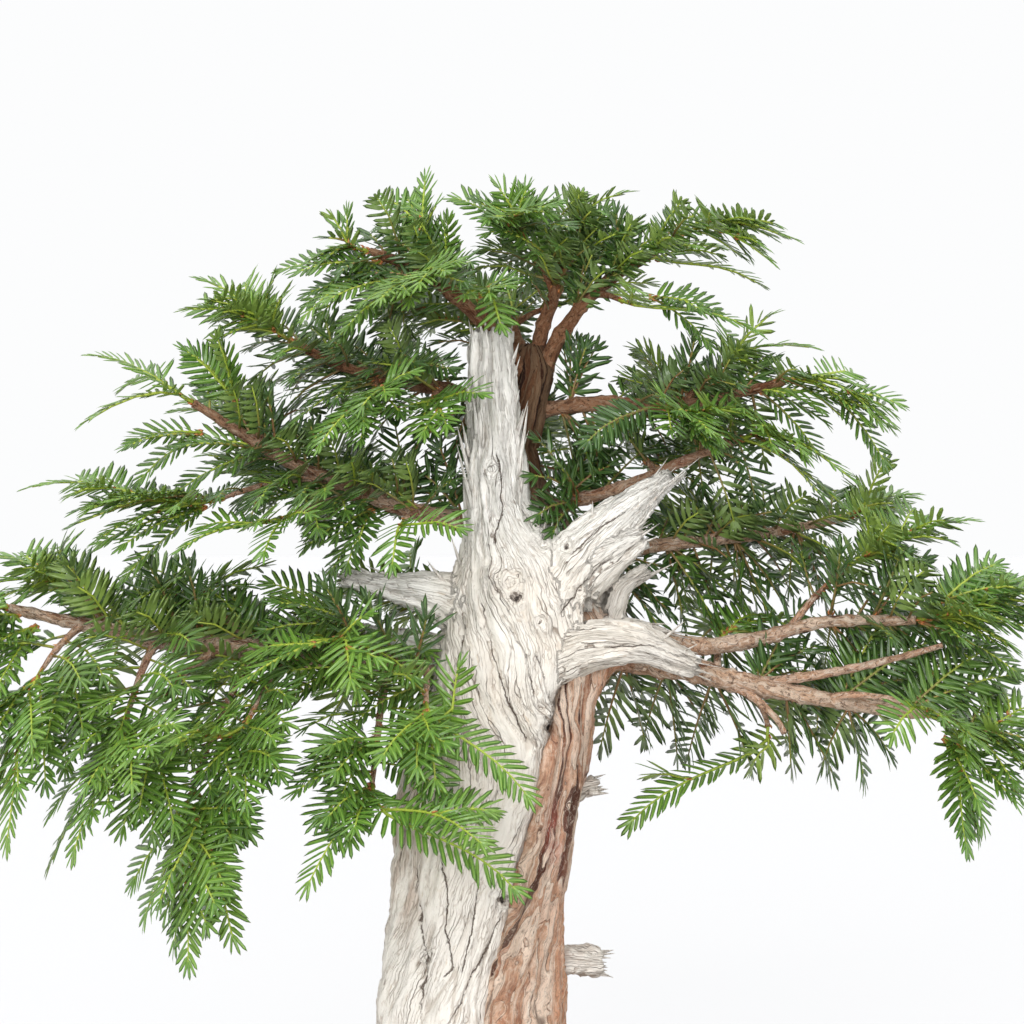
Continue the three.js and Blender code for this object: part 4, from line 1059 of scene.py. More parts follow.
def bark_material(name, tones, greyness, spread, crumble, shade):
    """Peeling bark, darkened by shade between two heights. Marks: orange, deep red, plate level, groove."""
    n = Nodes(name)
    orange, red, plate, groove = n.marks()
    grain = n.warped(n.vector("grain"), 45, 0.012)
    fibres = n.noise(grain, (900, 900, 46), 6, 0.65)
    flakes = n.noise(grain, (130, 130, 30), 6, 0.62, 0.8)
    small = n.noise(grain, (460, 460, 130), 6, 0.72, 0.6, (4, 2, 6))
    # Layers peeled off one over the other: each has its tone, a painted shadow below its edge and a pale line
    # on it
    sheet = n.times(n.noise(grain, spread, 1.4, 0.4, 0.25, (3, 5, 8)), 14.0)
    edge = n.math("FRACT", sheet)
    tone = n.plus(n.times(n.chance(n.math("FLOOR", sheet)), 0.5), n.times(flakes, 0.5))
    colour = n.ramp(n.plus(tone, n.times(plate, 0.16)), tones)
    grey = n.noise(grain, (60, 60, 18), 4, place=(2, 8, 5))
    colour = n.coats(colour, (grey, (0.45, 0.6, 0, greyness), (0.46, 0.33, 0.25)))
    fresh = n.blend(n.range(small, 0.35, 0.7), (0.56, 0.22, 0.11), (0.80, 0.46, 0.28))
    colour = n.blend(n.times(orange, n.range(flakes, 0.34, 0.56, 0.3, 0.95)), colour, fresh)
    colour = n.blend(n.times(red, n.range(small, 0.3, 0.6, 0.4, 0.85)), colour, (0.40, 0.10, 0.07))
    colour = n.coats(
        colour,
        (fibres, (0.48, 0.66, 0.0, 0.5), (0.20, 0.115, 0.08)),
        (fibres, (0.3, 0.42, 0.4, 0.0), (0.70, 0.53, 0.42)),
        (small, (0.56, 0.7, 0, 0.7), (0.80, 0.67, 0.54)),
        (small, (0.3, 0.43, 0.7, 0), (0.14, 0.075, 0.05)),
    )
    pale = n.times(n.range(edge, 0.07, 0.12), n.range(edge, 0.14, 0.26, 1, 0))
    edge_shadow = n.times(n.range(edge, 0.0, 0.09, 1, 0), n.range(small, 0.35, 0.6, 1, 0.45))
    colour = n.blend(n.times(pale, n.range(flakes, 0.42, 0.58, 0.1, 0.85)), colour, (0.84, 0.73, 0.61))
    # Painted shadow below each layer's edge
    colour = n.blend(n.times(edge_shadow, 0.9), colour, (0.09, 0.048, 0.036))
    crumbs = n.noise(grain, (430, 430, 260), 6, 0.75)
    # Pale and dark crumbs, and painted shade in the grooves
    colour = n.coats(
        colour,
        (crumbs, (0.53, 0.61, 0, crumble), (0.80, 0.67, 0.55)),
        (crumbs, (0.39, 0.46, crumble, 0), (0.13, 0.075, 0.05)),
        (groove, (0.4, 0.95, 0, 0.7), (0.09, 0.05, 0.035)),
    )
    shade_low, shade_high, shadow = shade
    colour = n.blend(n.range(n.parts(n.where())[2], shade_low, shade_high), colour, shadow, "MULTIPLY")
    height = n.plus(n.times(flakes, 0.8), n.plus(n.times(fibres, -0.35), n.times(small, 0.8)))
    height = n.math("SUBTRACT", n.plus(height, n.times(edge, -0.35)), n.times(edge_shadow, 0.5))
    height = n.math("MULTIPLY_ADD", crumbs, crumble * 1.6, height)
    return n.finish(colour, 0.8, n.bump(height, 0.0026, 1.0), 0.22)


def limb_path(name):
    return catmull(LIMBS[name][0])


def limb_radius(name, share):
    return mix(*LIMBS[name][1], np.asarray(share, float) ** 0.8)


def twig_of(limb, at, base):
    """Where a spray's green wood starts and its direction, with the twig's path and radius, if it has one."""
    path = limb_path(limb)
    start = path.at(at * path.length)
    if base is None:
        return start, path.tangent(path.length), None, None
    end = np.array(base, float)
    bow = mix(start, end, 0.45) + UP * 0.12 * np.linalg.norm(end - start)
    twig = bezier(start, bow, end)
    return end, twig.tangent(twig.length), twig, min(3.4, float(limb_radius(limb, at)) * 0.7)


def rod_into(body, path, radius, sides, seed, marks):
    """Adds a branch with uneven bark; radius is a function of the share, marks one of points and places."""
    count = max(4, int(path.length / 2.6))
    d = np.linspace(0, path.length, count)[:, None]
    angle = 2 * np.pi * np.arange(sides)[None] / sides
    r = radius(d / path.length)
    q = np.stack([np.cos(angle) * r + seed * 3.1, np.sin(angle) * r, d + 0 * angle], -1).reshape(-1, 3)
    rough = noise(q / (5, 5, 14), 7) * 0.22 + noise(q / (2.4, 2.4, 5), 8) * 0.17
    knuckle = 0.2 * bell(((d / 23 + draw(seed)) % 1) - 0.5, 0.09)
    uneven = r * (1 + rough.reshape(count, sides) + knuckle)
    points, faces = loft(tube_rings(path, lambda s, a: uneven, sides, count, RISING))
    body.add(points, faces, marks(points), 1)
    body.grains.append(q)


def bark_marks(p, groove=0.0, plate=0.5, thin=0.0):
    """Orange, deep red, plate level and groove; thin is the orange of thin wood."""
    x, y, z = p.T
    edge = smooth(x - np.interp(z, [150, 227, 289, 351, 420], [24, 27, 40, 51, 56]), -3, 4) * (x < 75)
    orange = edge * np.maximum(smooth(-np.abs(z - 185), -62, -36), smooth(-np.abs(z - 345), -40, -24))
    orange = np.maximum(orange, smooth(noise(p / (34, 34, 26), 190), 0.3, 0.55) * 0.35)
    orange = np.maximum(orange, thin * (0.55 + 0.4 * noise(p / 17, 193)))
    low_left = bell(x + 108, 28) * smooth(-np.abs(z - 380), -30, -14)
    orange = np.maximum(orange, low_left * smooth(noise(p / 13, 191), -0.3, 0.2))
    red = np.exp(-((x - 26) / 6) ** 2 - ((z - 270) / 20) ** 2) * (y < 0)
    red = red * smooth(noise(p / (7, 7, 12), 192), -0.4, 0.1)
    red = np.maximum(red, smooth(noise(p / (20, 20, 40), 200), 0.42, 0.6) * 0.6)
    plate, groove = (np.broadcast_to(value, x.shape) for value in (plate, groove))
    return np.stack([orange, red, plate, groove], 1).clip(0, 1)


def make_living_wood():
    bodies = [loft(column_rings(rows)) for rows in (LIVE_STRIP, LIVE_BACK)]
    bodies += [loft(gnarl_rings(row)) for row in LIVE_ROOTS]
    for name, (_, radii) in LIMBS.items():
        if radii[0] > THICK_LIMB:
            near = Path(limb_path(name).at(np.linspace(0, 46, 20)))
            bodies.append(loft(tube_rings(
                near, lambda s, a: limb_radius(name, 0) * mix(1.35, 0.8, s), 16, 14, RISING,
            )))
    points, faces, normals = remeshed(bodies, BARK_FACE, 4)

    def height(q, k):
        q = bent_grain(q, 24, 25 + k)
        broad = layers(q / (17, 17, 110), 2, 140) * 2.8
        plates = steps_of(layers(q / (10, 10, 46), 2, 150) * 3.0, 0.72)
        groove = bell(noise(q / (12, 12, 95), 160), 0.05) * smooth(noise(q / (20, 20, 60), 170), 0, 0.35)
        fine = noise(q / (3.4, 3.4, 24), 180) * 0.5
        return np.stack([broad + 1.25 * plates + fine - 1.6 * groove, groove, 0.5 + 0.19 * plates], 1)

    made, q = blend_grain(Grain([LIVE_STRIP, LIVE_BACK], LIVE_ROOTS).read(points), height, points)
    rise, groove, plate = made.T
    # The bark ends at the deadwood in a rolled, broken lip
    dead = np.array(DEAD_TRUNK, float)
    x, y, w, d = (np.interp(points[:, 2], dead[:, 0], dead[:, c]) for c in range(1, 5))
    out = np.hypot((points[:, 0] - x) / w, (points[:, 1] - y) / d)
    lip = bell(out - 1.09, 0.055) * (points[:, 2] < 400) * (points[:, 1] < 20)
    rise += lip * (2.6 + 2.6 * noise(points / (7, 7, 13), 210))
    plate = np.clip(plate + 0.35 * lip * noise(points / (5, 5, 9), 211), 0, 1)
    points = points + normals * rise[:, None]

    body = Body()
    body.grains = [q]
    body.add(points, [faces], bark_marks(points, groove, plate))
    for k, (name, (_, radii)) in enumerate(LIMBS.items()):
        thin = 0.25 if radii[0] > THICK_LIMB else 0.6
        rod_into(
            body, limb_path(name), lambda s: limb_radius(name, s), 16 if radii[0] > 8 else 12, k,
            lambda p: bark_marks(p, thin=thin),
        )
    twigs = []
    for limb, sprays in LEAFAGE.items():
        for at, base, *_ in sprays.values():
            _, _, path, radius = twig_of(limb, at, base)
            twigs.append((path, radius and radius * 0.85, 1.5))
    for limb, at, bow, end in FORKS:
        path = limb_path(limb)
        twigs.append((bezier(path.at(at * path.length), bow, end), 3.6, 1.6))
    for k, (path, first, last) in enumerate(twigs, 21):
        if path is not None:
            rod_into(body, path, lambda s: mix(first, last, s), 8, k, lambda p: bark_marks(p, thin=0.9))
    trunk_tones = [
        (0.35, (0.075, 0.024, 0.015)), (0.44, (0.23, 0.09, 0.05)), (0.52, (0.46, 0.22, 0.13)),
        (0.59, (0.63, 0.37, 0.24)), (0.68, (0.86, 0.67, 0.53)),
    ]
    limb_tones = [
        (0.3, (0.13, 0.05, 0.024)), (0.42, (0.33, 0.16, 0.088)), (0.52, (0.50, 0.29, 0.175)),
        (0.63, (0.63, 0.42, 0.28)), (0.8, (0.80, 0.63, 0.48)),
    ]
    piece = body.build("barked_living_wood", [
        bark_material("trunk_bark", trunk_tones, 0.2, (70, 70, 7), 0.35, (0.42, 0.50, (0.25, 0.19, 0.135))),
        bark_material("limb_bark", limb_tones, 0.3, (110, 110, 30), 0.8, (0.42, 0.57, (0.48, 0.35, 0.26))),
    ])
    add_vectors(piece, "grain", np.vstack(body.grains) * MM)
    place(piece, "bark", "living_wood")


# Leafage
def upper_face(tip):
    """The way that the flat of a shoot faces: up, and out from the trunk."""
    out = unit(np.array([tip[0], tip[1] - 20, 0.0]))
    return unit(0.75 * UP + 0.65 * out)


def shoot(path, radius, face, age, **more):
    """A shoot; more may hold bare (length without needles), loose, brush (needles all round) and size."""
    return {"path": path, "radius": radius, "face": face, "age": age, **more}


def covers_wood(points):
    """True if a line of points passes in front of the bare wood, through the trunk or across a gap."""
    x, y, z = points.T
    depth = CAMERA_AWAY / (CAMERA_AWAY + y)
    x, z = x * depth, CAMERA_HIGH + (z - CAMERA_HIGH) * depth
    for k, (start, end, radius) in enumerate(BARE + CLEAR):
        near = from_segment(x, z, start, end)[0] < radius + SHOOT_MARGIN
        if (near & ((y < WOOD_DEPTH) | (k >= len(BARE)))).any():
            return True
    return False


def in_box(point):
    """True if the point lies in the box of the solids, with room for the needles at its top."""
    low, high = np.array(cad_box) / MM
    return (point > low - BOX_MARGIN).all() and (point < high + (BOX_MARGIN, BOX_MARGIN, -TOP_MARGIN)).all()


def fits(path, samples):
    """True if a path ends in the box of the solids and leaves the bare wood and the gaps open."""
    return in_box(path.points[-1]) and not covers_wood(path.at(np.linspace(0, path.length, samples)))


def main_path(start, set_off, tip):
    """The stem of a main shoot, which ends short of its needles' tip."""
    length = np.linalg.norm(tip - start)
    end = mix(tip, start, 0.6 * NEEDLE_LENGTH / length)
    return bezier(start, start + set_off * 0.32 * length, mix(start, end, 0.62) + UP * 0.12 * length, end)


def main_shoots(limb, at, base, tips):
    """The main shoots of a spray, as in its solid."""
    foot, ahead, _, _ = twig_of(limb, at, base)
    tips = [np.array(tip, float) for tip in tips]
    first = main_path(foot + ahead * 0.35, ahead, tips[0])
    face = upper_face(tips[0])
    shoots = [shoot(first, 1.7, face, 0.25)]
    pairs = round((first.length - 9) / 12)
    for i, tip in enumerate(tips[1:]):
        point, tangent, _, side = first.across(mix(9, first.length - 1.5, i / pairs), face)
        hand = 1 if (tip - point) @ side > 0 else -1
        path = main_path(point, 0.6 * tangent + 0.8 * hand * side, tip)
        shoots.append(shoot(path, 1.4, upper_face(tip), 0.25))
    return shoots


def side_shoots(main, seed):
    """Shorter shoots to both sides of a main shoot, from its lower part."""
    path, face, made = main["path"], main["face"], []
    if path.length < 40:
        return made
    d, k = 7 + 3 * draw(seed), 0
    while d < 0.66 * path.length:
        point, tangent, normal, side = path.across(d, face)
        hand = 1 if (k + int(seed)) % 2 else -1
        r = draw(seed * 1.3 + k * 5.1)
        length = np.clip((path.length - d) * 0.66 * (0.75 + 0.5 * r), 22, 54)
        lean = math.radians(38 + 16 * draw(seed + k * 2.2))
        lift = (draw(seed * 2.1 + k) - 0.42) * 0.5
        reach = unit(math.cos(lean) * tangent + math.sin(lean) * hand * side + lift * normal)
        set_off = unit(0.8 * tangent + 0.6 * hand * side + lift * normal)
        middle = point + reach * 0.7 * length + UP * 0.05 * length
        tip = point + reach * length - UP * length * 0.10
        child = bezier(point, point + set_off * 0.35 * length, middle, tip)
        if fits(child, 6):
            made.append(shoot(child, 1.15, unit(face + 0.3 * (r - 0.5) * side), mix(0.1, 0.5, r)))
        d += 8.5 + 3 * draw(seed + k)
        k += 1
    return made


def sister_shoots(main, seed, count):
    """Shoots from the foot of a main shoot into the layers beside, behind and below it."""
    path, face, made = main["path"], main["face"], []
    start, tip = path.at(0.0), path.at(path.length)
    ahead = unit(tip - start)
    side = unit(np.cross(ahead, face))
    for k in range(count):
        a, b, c = draw(seed + 1.9 * k), draw(seed * 1.3 + 2.7 * k), draw(seed * 0.7 + 4.1 * k)
        foot = path.at(path.length * 0.3 * a)
        reach = path.length * mix(0.5, 0.85, b)
        spread = (0.75 if k % 2 else -0.75) * mix(0.5, 1.0, c)
        end = start + ahead * reach + side * spread * reach * 0.7 + UP * mix(-20, 8, draw(seed + 6.3 * k))
        middle = mix(foot, end, 0.5) + UP * 0.12 * reach
        child = bezier(foot, mix(foot, middle, 0.5) + UP * 3, middle, end)
        if child.length > 16 and fits(child, 6):
            made.append(shoot(child, 1.25, unit(face + 0.25 * spread * side), mix(0.2, 0.8, c)))
    return made


def wood_shoots(path, first, seed, spacing):
    """Older shoots that stand along brown wood, to both sides and upwards."""
    made, k, d = [], 0, first
    while d < path.length - 4:
        point, tangent, normal, side = path.across(d, UP + 0.001)
        hand = 1 if k % 2 else -1
        r, s = draw(seed + 3.3 * k), draw(seed * 1.7 + 1.1 * k)
        turn = math.radians(mix(-24, 58, s))
        length = mix(34, 58, r)
        out = math.cos(turn) * hand * side + math.sin(turn) * normal
        reach = unit(0.55 * tangent + out)
        tip = point + reach * length - UP * length * 0.12
        set_off = point + unit(0.3 * tangent + out) * 0.4 * length
        child = bezier(point, set_off, point + reach * 0.72 * length + UP * 0.06 * length, tip)
        if fits(child, 7):
            face = unit(upper_face(tip) + 0.35 * (s - 0.5) * side)
            made.append(shoot(child, 1.2, face, mix(0.45, 1.0, draw(seed + k * 9.1)), bare=8))
        d += spacing * (0.8 + 0.4 * draw(k + seed * 0.7))
        k += 1
    return made


def inner_shoots(path, seed, spacing):
    """Dark old shoots that fill the tree behind a limb, fanned up and down."""
    made, k, d = [], 0, path.length * 0.16
    while d < path.length * 0.97:
        point, tangent, back, _ = path.across(d, np.array([0, 1.0, 0.1]))
        r, s = draw(seed + 2.9 * k), draw(seed * 1.9 + 1.7 * k)
        turn = math.radians(mix(-72, 62, s))
        length = mix(38, 66, r)
        forward = mix(-0.1, 0.7, draw(seed + 5.3 * k))
        reach = unit(forward * tangent + math.cos(turn) * back + math.sin(turn) * UP)
        tip = point + reach * length - UP * length * 0.1
        middle = point + reach * 0.72 * length + UP * 0.05 * length
        child = bezier(point, point + reach * 0.4 * length, middle, tip)
        if fits(child, 7):
            face = unit(UP + 0.5 * (s - 0.5) * tangent - np.array([0, 0.8 * r, 0]))
            made.append(shoot(child, 1.2, face, mix(0.65, 1.0, r), bare=7, loose=True))
        d += spacing * (0.8 + 0.4 * draw(k + seed * 0.7))
        k += 1
    return made


def bunch_shoots(foot, middle, count, age, seed):
    """Shoots that fan out from one foot."""
    foot, middle = np.array(foot, float), np.array(middle, float)
    ahead = middle - foot
    size = np.linalg.norm(ahead)
    ahead = ahead / size
    side = unit(np.cross(ahead, (0.1, -1, 0.3)))
    other = np.cross(ahead, side)
    made = []
    for k in range(count):
        a, b, c = draw(seed + 1.3 * k), draw(seed + 2.9 * k), draw(seed + 4.7 * k)
        turn = 2 * math.pi * (k + 0.4 * a) / count
        fan = (side * math.cos(turn) + other * math.sin(turn)) * size * mix(0.25, 0.55, c)
        tip = foot + ahead * max(size, 36) * mix(0.95, 1.25, b) + fan
        start = foot + ahead * 4 * a
        line = bezier(start, mix(start, tip, 0.35) + UP * 3, mix(start, tip, 0.7) + UP * 5, tip)
        if in_box(tip):
            face = unit(upper_face(tip) + np.array([0, -0.4, 0]) + 0.4 * (c - 0.5) * side)
            shown_age = np.clip(age + 0.3 * (a - 0.5), 0.1, 1)
            made.append(shoot(line, 1.2, face, shown_age, bare=5, loose=age > 0.7))
    return made


def upright_shoot(foot, tip):
    """An old shoot with needles all round."""
    foot, tip = np.array(foot, float), np.array(tip, float)
    line = bezier(foot, mix(foot, tip, 0.5) + np.array([2, 0, 3]), tip)
    return shoot(line, 1.3, FRONT, 0.9, brush=True, size=1.1, bare=3)


def grow_needles(body, parent, seed):
    """Needles along a shoot, in two ranks or all round it."""
    path, length, age = parent["path"], parent["path"].length, parent["age"]
    brush, loose, scale = parent.get("brush", False), parent.get("loose", False), parent["size"]
    pitch = 1.9 if brush else 3.0 if loose else 2.5 * scale**0.5
    d = np.arange(parent.get("bare", 4), length - 1.2, pitch)
    d = np.concatenate([d, [length - 0.9, length - 0.4, length - 0.1]])
    n = len(d)
    index = np.arange(n)
    share = d / length
    a, b, c, e = (draw(index * s + seed * 7.7 + s) for s in (1.31, 2.17, 3.71, 5.13))
    point, tangent, normal, side = path.across(d, parent["face"])
    hand = np.where(index % 2, 1.0, -1.0)
    lean = np.radians(mix(74, 46, share**1.6) + (a - 0.5) * (30 if loose else 14))
    lean[-3:] = np.radians([32, 24, 8])
    profile = mix(0.6, 1.0, smooth(share, 0, 0.18)) * mix(1.0, 0.6, smooth(share, 0.72, 1.0))
    reach = NEEDLE_LENGTH * profile * (0.88 + 0.24 * b) * scale
    if brush:
        turn = index * GOLDEN_ANGLE + seed
        out = np.cos(turn)[:, None] * side + np.sin(turn)[:, None] * normal
        lean = np.radians(mix(64, 30, share) + (a - 0.5) * 16)
    else:
        rise = np.radians(8 + (60 if loose else 18) * (c - 0.4))
        out = hand[:, None] * np.cos(rise)[:, None] * side + np.sin(rise)[:, None] * normal
    direction = unit(np.cos(lean)[:, None] * tangent + np.sin(lean)[:, None] * out)
    over = unit(tangent - 0.2 * out) if brush else normal
    over = unit(over - (over * direction).sum(1)[:, None] * direction)
    across = np.cross(direction, over)
    roll = np.radians((e - 0.5) * (90 if loose else 40))[:, None]
    over, across = over * np.cos(roll) + across * np.sin(roll), across * np.cos(roll) - over * np.sin(roll)
    width = NEEDLE_WIDTH * (0.88 + 0.24 * c) * mix(0.6, 1, profile) * 0.5 * scale**0.5
    bend = tangent * ((0.10 + 0.07 * a) * reach)[:, None]
    droop = over * ((0.04 + 0.10 * b + 0.03 * age) * reach)[:, None]
    # Three rings of three points and a tip: the upper sides meet in a midrib
    u = STATIONS[None, :, None]
    line = point[:, None] + direction[:, None] * reach[:, None, None] * u
    line = line + bend[:, None] * u**2 - droop[:, None] * u**2
    half = across[:, None] * (width[:, None] * BREADTH)[..., None]
    ring = np.stack([line - half, line + over[:, None] * MIDRIB[None, :, None], line + half], 2)
    tip = point + direction * reach[:, None] + bend - droop
    points = np.concatenate([ring.reshape(n, 9, 3), tip[:, None]], 1)
    marks = np.zeros((n, 10, 4))
    marks[..., 0] = [*np.repeat(STATIONS, 3), 1]
    marks[..., 1] = [*np.tile([1, 0, 1], 3), 0.8]
    marks[..., 2] = b[:, None]
    marks[..., 3] = np.clip(age + 0.24 * (a - 0.5), 0, 1)[:, None]
    body.add_copies(points, NEEDLE_FACES, marks)
    body.kinds.append(np.tile([*np.tile([1, 2, 3], 3), 0], n))


def grow_stem(body, parent, seed):
    """The stem of a shoot, with two bud scales round its foot."""
    path, face = parent["path"], parent["face"]
    count = max(4, int(path.length / 11))
    r = parent["radius"] * 0.85
    points, faces = loft(tube_rings(path, lambda s, a: mix(r, 0.5, s), 4, count, face))
    marks = np.zeros((len(points), 4))
    marks[:, 0] = np.repeat(np.linspace(0, 1, count), 4)
    marks[:, 2:] = draw(seed), parent["age"]
    body.add(points, faces, marks, 1)
    body.kinds.append(np.zeros(len(points), int))
    point, tangent, normal, side = path.across(1.2, face)
    for i in range(2):
        turn = math.pi * i + seed
        out = math.cos(turn) * normal + math.sin(turn) * side
        start = point + out * r * 0.7 - tangent * 1.4
        line = Path([start, start + tangent * 1.6 + out * 0.9, start + tangent * 3.6 + out * 0.7])
        points, faces = loft(tube_rings(line, lambda s, a: 1.05 * (1 - s) + 0.12, 3, 3, out))
        body.add(points, faces, (0, 0, draw(seed + i), 0), 2)
        body.kinds.append(np.zeros(len(points), int))


def needle_material():
    """Glossy green needles. Marks: share of the length, distance from the midrib, chance, age."""
    n = Nodes("yew_needles")
    along, across, chance, age = n.marks()
    where = n.where()
    clouds, mottle = n.noise(where, 16, 3), n.noise(where, 600, 3)
    young = n.blend(chance, (0.066, 0.178, 0.019), (0.134, 0.28, 0.036))
    old = n.blend(chance, (0.023, 0.066, 0.011), (0.056, 0.125, 0.024))
    light = n.blend(age, (0.19, 0.32, 0.03), (0.05, 0.11, 0.04))
    colour = n.blend(n.range(age, 0.12, 0.85), young, old)
    colour = n.coats(
        colour, (clouds, (0.38, 0.68, 0.0, 0.5), light), (mottle, (0.35, 0.7, 0.0, 0.3), (0.024, 0.07, 0.012))
    )
    rib = n.times(n.range(across, 0.0, 0.22, 1.0, 0.0), n.range(age, 0.1, 0.9, 0.55, 0.2))
    colour = n.blend(rib, colour, (0.33, 0.46, 0.08))
    colour = n.coats(colour, (along, (0.0, 0.14, 0.7, 0.0), (0.34, 0.43, 0.05)))
    margin = n.times(n.range(across, 0.9, 1.0), 0.75)
    colour = n.blend(margin, colour, n.blend(age, (0.31, 0.42, 0.08), (0.13, 0.20, 0.07)))
    colour = n.coats(colour, (along, (0.92, 1.0, 0.0, 0.65), (0.42, 0.34, 0.08)))
    return n.finish(colour, 0.33, n.bump(mottle, 0.0003, 0.5), 0.6)


def stem_material():
    """Green stems that turn brown with age. Marks: share of the length, unused, chance, age."""
    n = Nodes("green_stems")
    along, _, chance, age = n.marks()
    green = n.blend(chance, (0.30, 0.42, 0.03), (0.42, 0.50, 0.06))
    brown = n.blend(chance, (0.20, 0.17, 0.055), (0.28, 0.13, 0.06))
    ridges = n.noise(n.where(), 900, 3)
    colour = n.blend(n.range(n.math("SUBTRACT", age, n.times(along, 0.5)), 0.2, 0.6), green, brown)
    colour = n.coats(colour, (ridges, (0.35, 0.7, 0, 0.4), (0.14, 0.16, 0.04)))
    return n.finish(colour, 0.5, n.bump(ridges, 0.0004, 0.6))


def scale_material():
    n = Nodes("bud_scales")
    _, _, chance, _ = n.marks()
    colour = n.blend(chance, (0.42, 0.13, 0.035), (0.55, 0.25, 0.08))
    colour = n.coats(colour, (n.noise(n.where(), 800, 3), (0.4, 0.7, 0, 0.6), (0.20, 0.07, 0.03)))
    return n.finish(colour, 0.6, None)


def make_leafage():
    materials = [needle_material(), stem_material(), scale_material()]
    seed = 1
    for limb, sprays in LEAFAGE.items():
        path = limb_path(limb)
        # The lower left limb carries fewer and younger shoots
        sparse = limb == "low_left"
        for place_name, (at, base, *tips) in sprays.items():
            name = f"{limb}_{place_name}"
            shoots = main_shoots(limb, at, base, tips)
            for main in list(shoots):
                seed += 1
                shoots += side_shoots(main, seed) + sister_shoots(main, seed, 2 if sparse else 3)
            twig = twig_of(limb, at, base)[2]
            seed += 3
            if twig is not None and twig.length > 24:
                shoots += wood_shoots(twig, 6, seed, 8 if sparse else 6)
            if place_name == "end":
                spacing = 7.5 if sparse else 6.5
                shoots += wood_shoots(path, path.length * BARE_UP_TO.get(limb, 0.3), seed + 0.5, spacing)
                shoots += inner_shoots(path, seed + 0.7, spacing)
            for i, (owner, foot, tip, number, age) in enumerate(BUNCHES):
                if owner == name:
                    shoots += bunch_shoots(foot, tip, number, age, seed + 0.3 * i)
            shoots += [upright_shoot(foot, tip) for owner, foot, tip in UPRIGHT if owner == name]
            body = Body()
            for i, grown in enumerate(shoots):
                grown["size"] = grown.get("size", 1.0) * NEEDLE_SIZE[limb.split("_")[0]]
                if sparse and "brush" not in grown:
                    grown["age"] *= 0.65
                grow_stem(body, grown, seed + 0.37 * i)
                grow_needles(body, grown, seed + 0.37 * i)
            place(body.build(f"leafy_{name}", materials), "needles", f"spray_{name}")


# Pot and soil
def rounded(inset, z, half=POT_HALF, corner=POT_CORNER, around=AROUND):
    """A ring of a rounded rectangle, evenly spaced."""
    x, y = half[0] - inset, half[1] - inset
    radius = max(5.0, corner - inset)
    quarter = np.linspace(0, math.pi / 2, 14)
    corners = []
    for k, (sx, sy) in enumerate([(1, 1), (-1, 1), (-1, -1), (1, -1)]):
        turn = quarter + k * math.pi / 2
        across, along = sx * (x - radius) + radius * np.cos(turn), sy * (y - radius) + radius * np.sin(turn)
        corners.append(np.stack([across, along], 1))
    line = np.vstack(corners + [corners[0][:1]])
    path = Path(np.column_stack([line, np.zeros(len(line))]))
    ring = path.at(np.arange(around) * path.length / around)
    ring[:, 2] = z
    return ring


def pot_shell():
    """The pot's wall as one skin, with two drain holes through its floor."""
    fine = []
    for (i0, z0), (i1, z1) in zip(POT_PROFILE, POT_PROFILE[1:]):
        steps = max(1, int(math.hypot(i1 - i0, z1 - z0) / 7))
        fine += [(mix(i0, i1, t / steps), mix(z0, z1, t / steps)) for t in range(steps)]
    fine.append(POT_PROFILE[-1])
    rings = np.stack([rounded(inset, z) for inset, z in fine])
    flat = rings.reshape(-1, 3)
    flat += unit(flat * (1, 1, 0)) * (noise(flat / (55, 55, 30), 300) * 0.35)[:, None]
    # A skin for each hole, and the first and last points of every skin: the borders of the floor's two sides
    skins = [rings]
    turn = np.linspace(0, 2 * math.pi, 28, endpoint=False)
    for x in (-85, 85):
        rings = [[(x + r * math.cos(t), -r * math.sin(t), z) for t in turn] for r, z in HOLE_PROFILE]
        skins.append(np.array(rings))
    parts, faces, borders, count = [], [], ([], []), 0
    for skin in skins:
        points, (quads,) = loft(skin, closed=False)
        parts.append(points)
        faces.append(quads + count)
        count += len(points)
        around = np.arange(skin.shape[1])
        borders[0].append(around + count - len(points))
        borders[1].append(around + count - skin.shape[1])
    points = np.vstack(parts)
    for upper, lines in enumerate(borders):
        found = np.array(tessellate_polygon([[Vector(points[k]) for k in line] for line in lines]))
        found = np.concatenate(lines)[found]
        a, b, c = (points[found[:, k], :2] for k in range(3))
        area = (b[:, 0] - a[:, 0]) * (c[:, 1] - a[:, 1]) - (b[:, 1] - a[:, 1]) * (c[:, 0] - a[:, 0])
        turned = (area > 0) != (upper == 1)
        faces.append(np.where(turned[:, None], found[:, ::-1], found))
    return points, faces


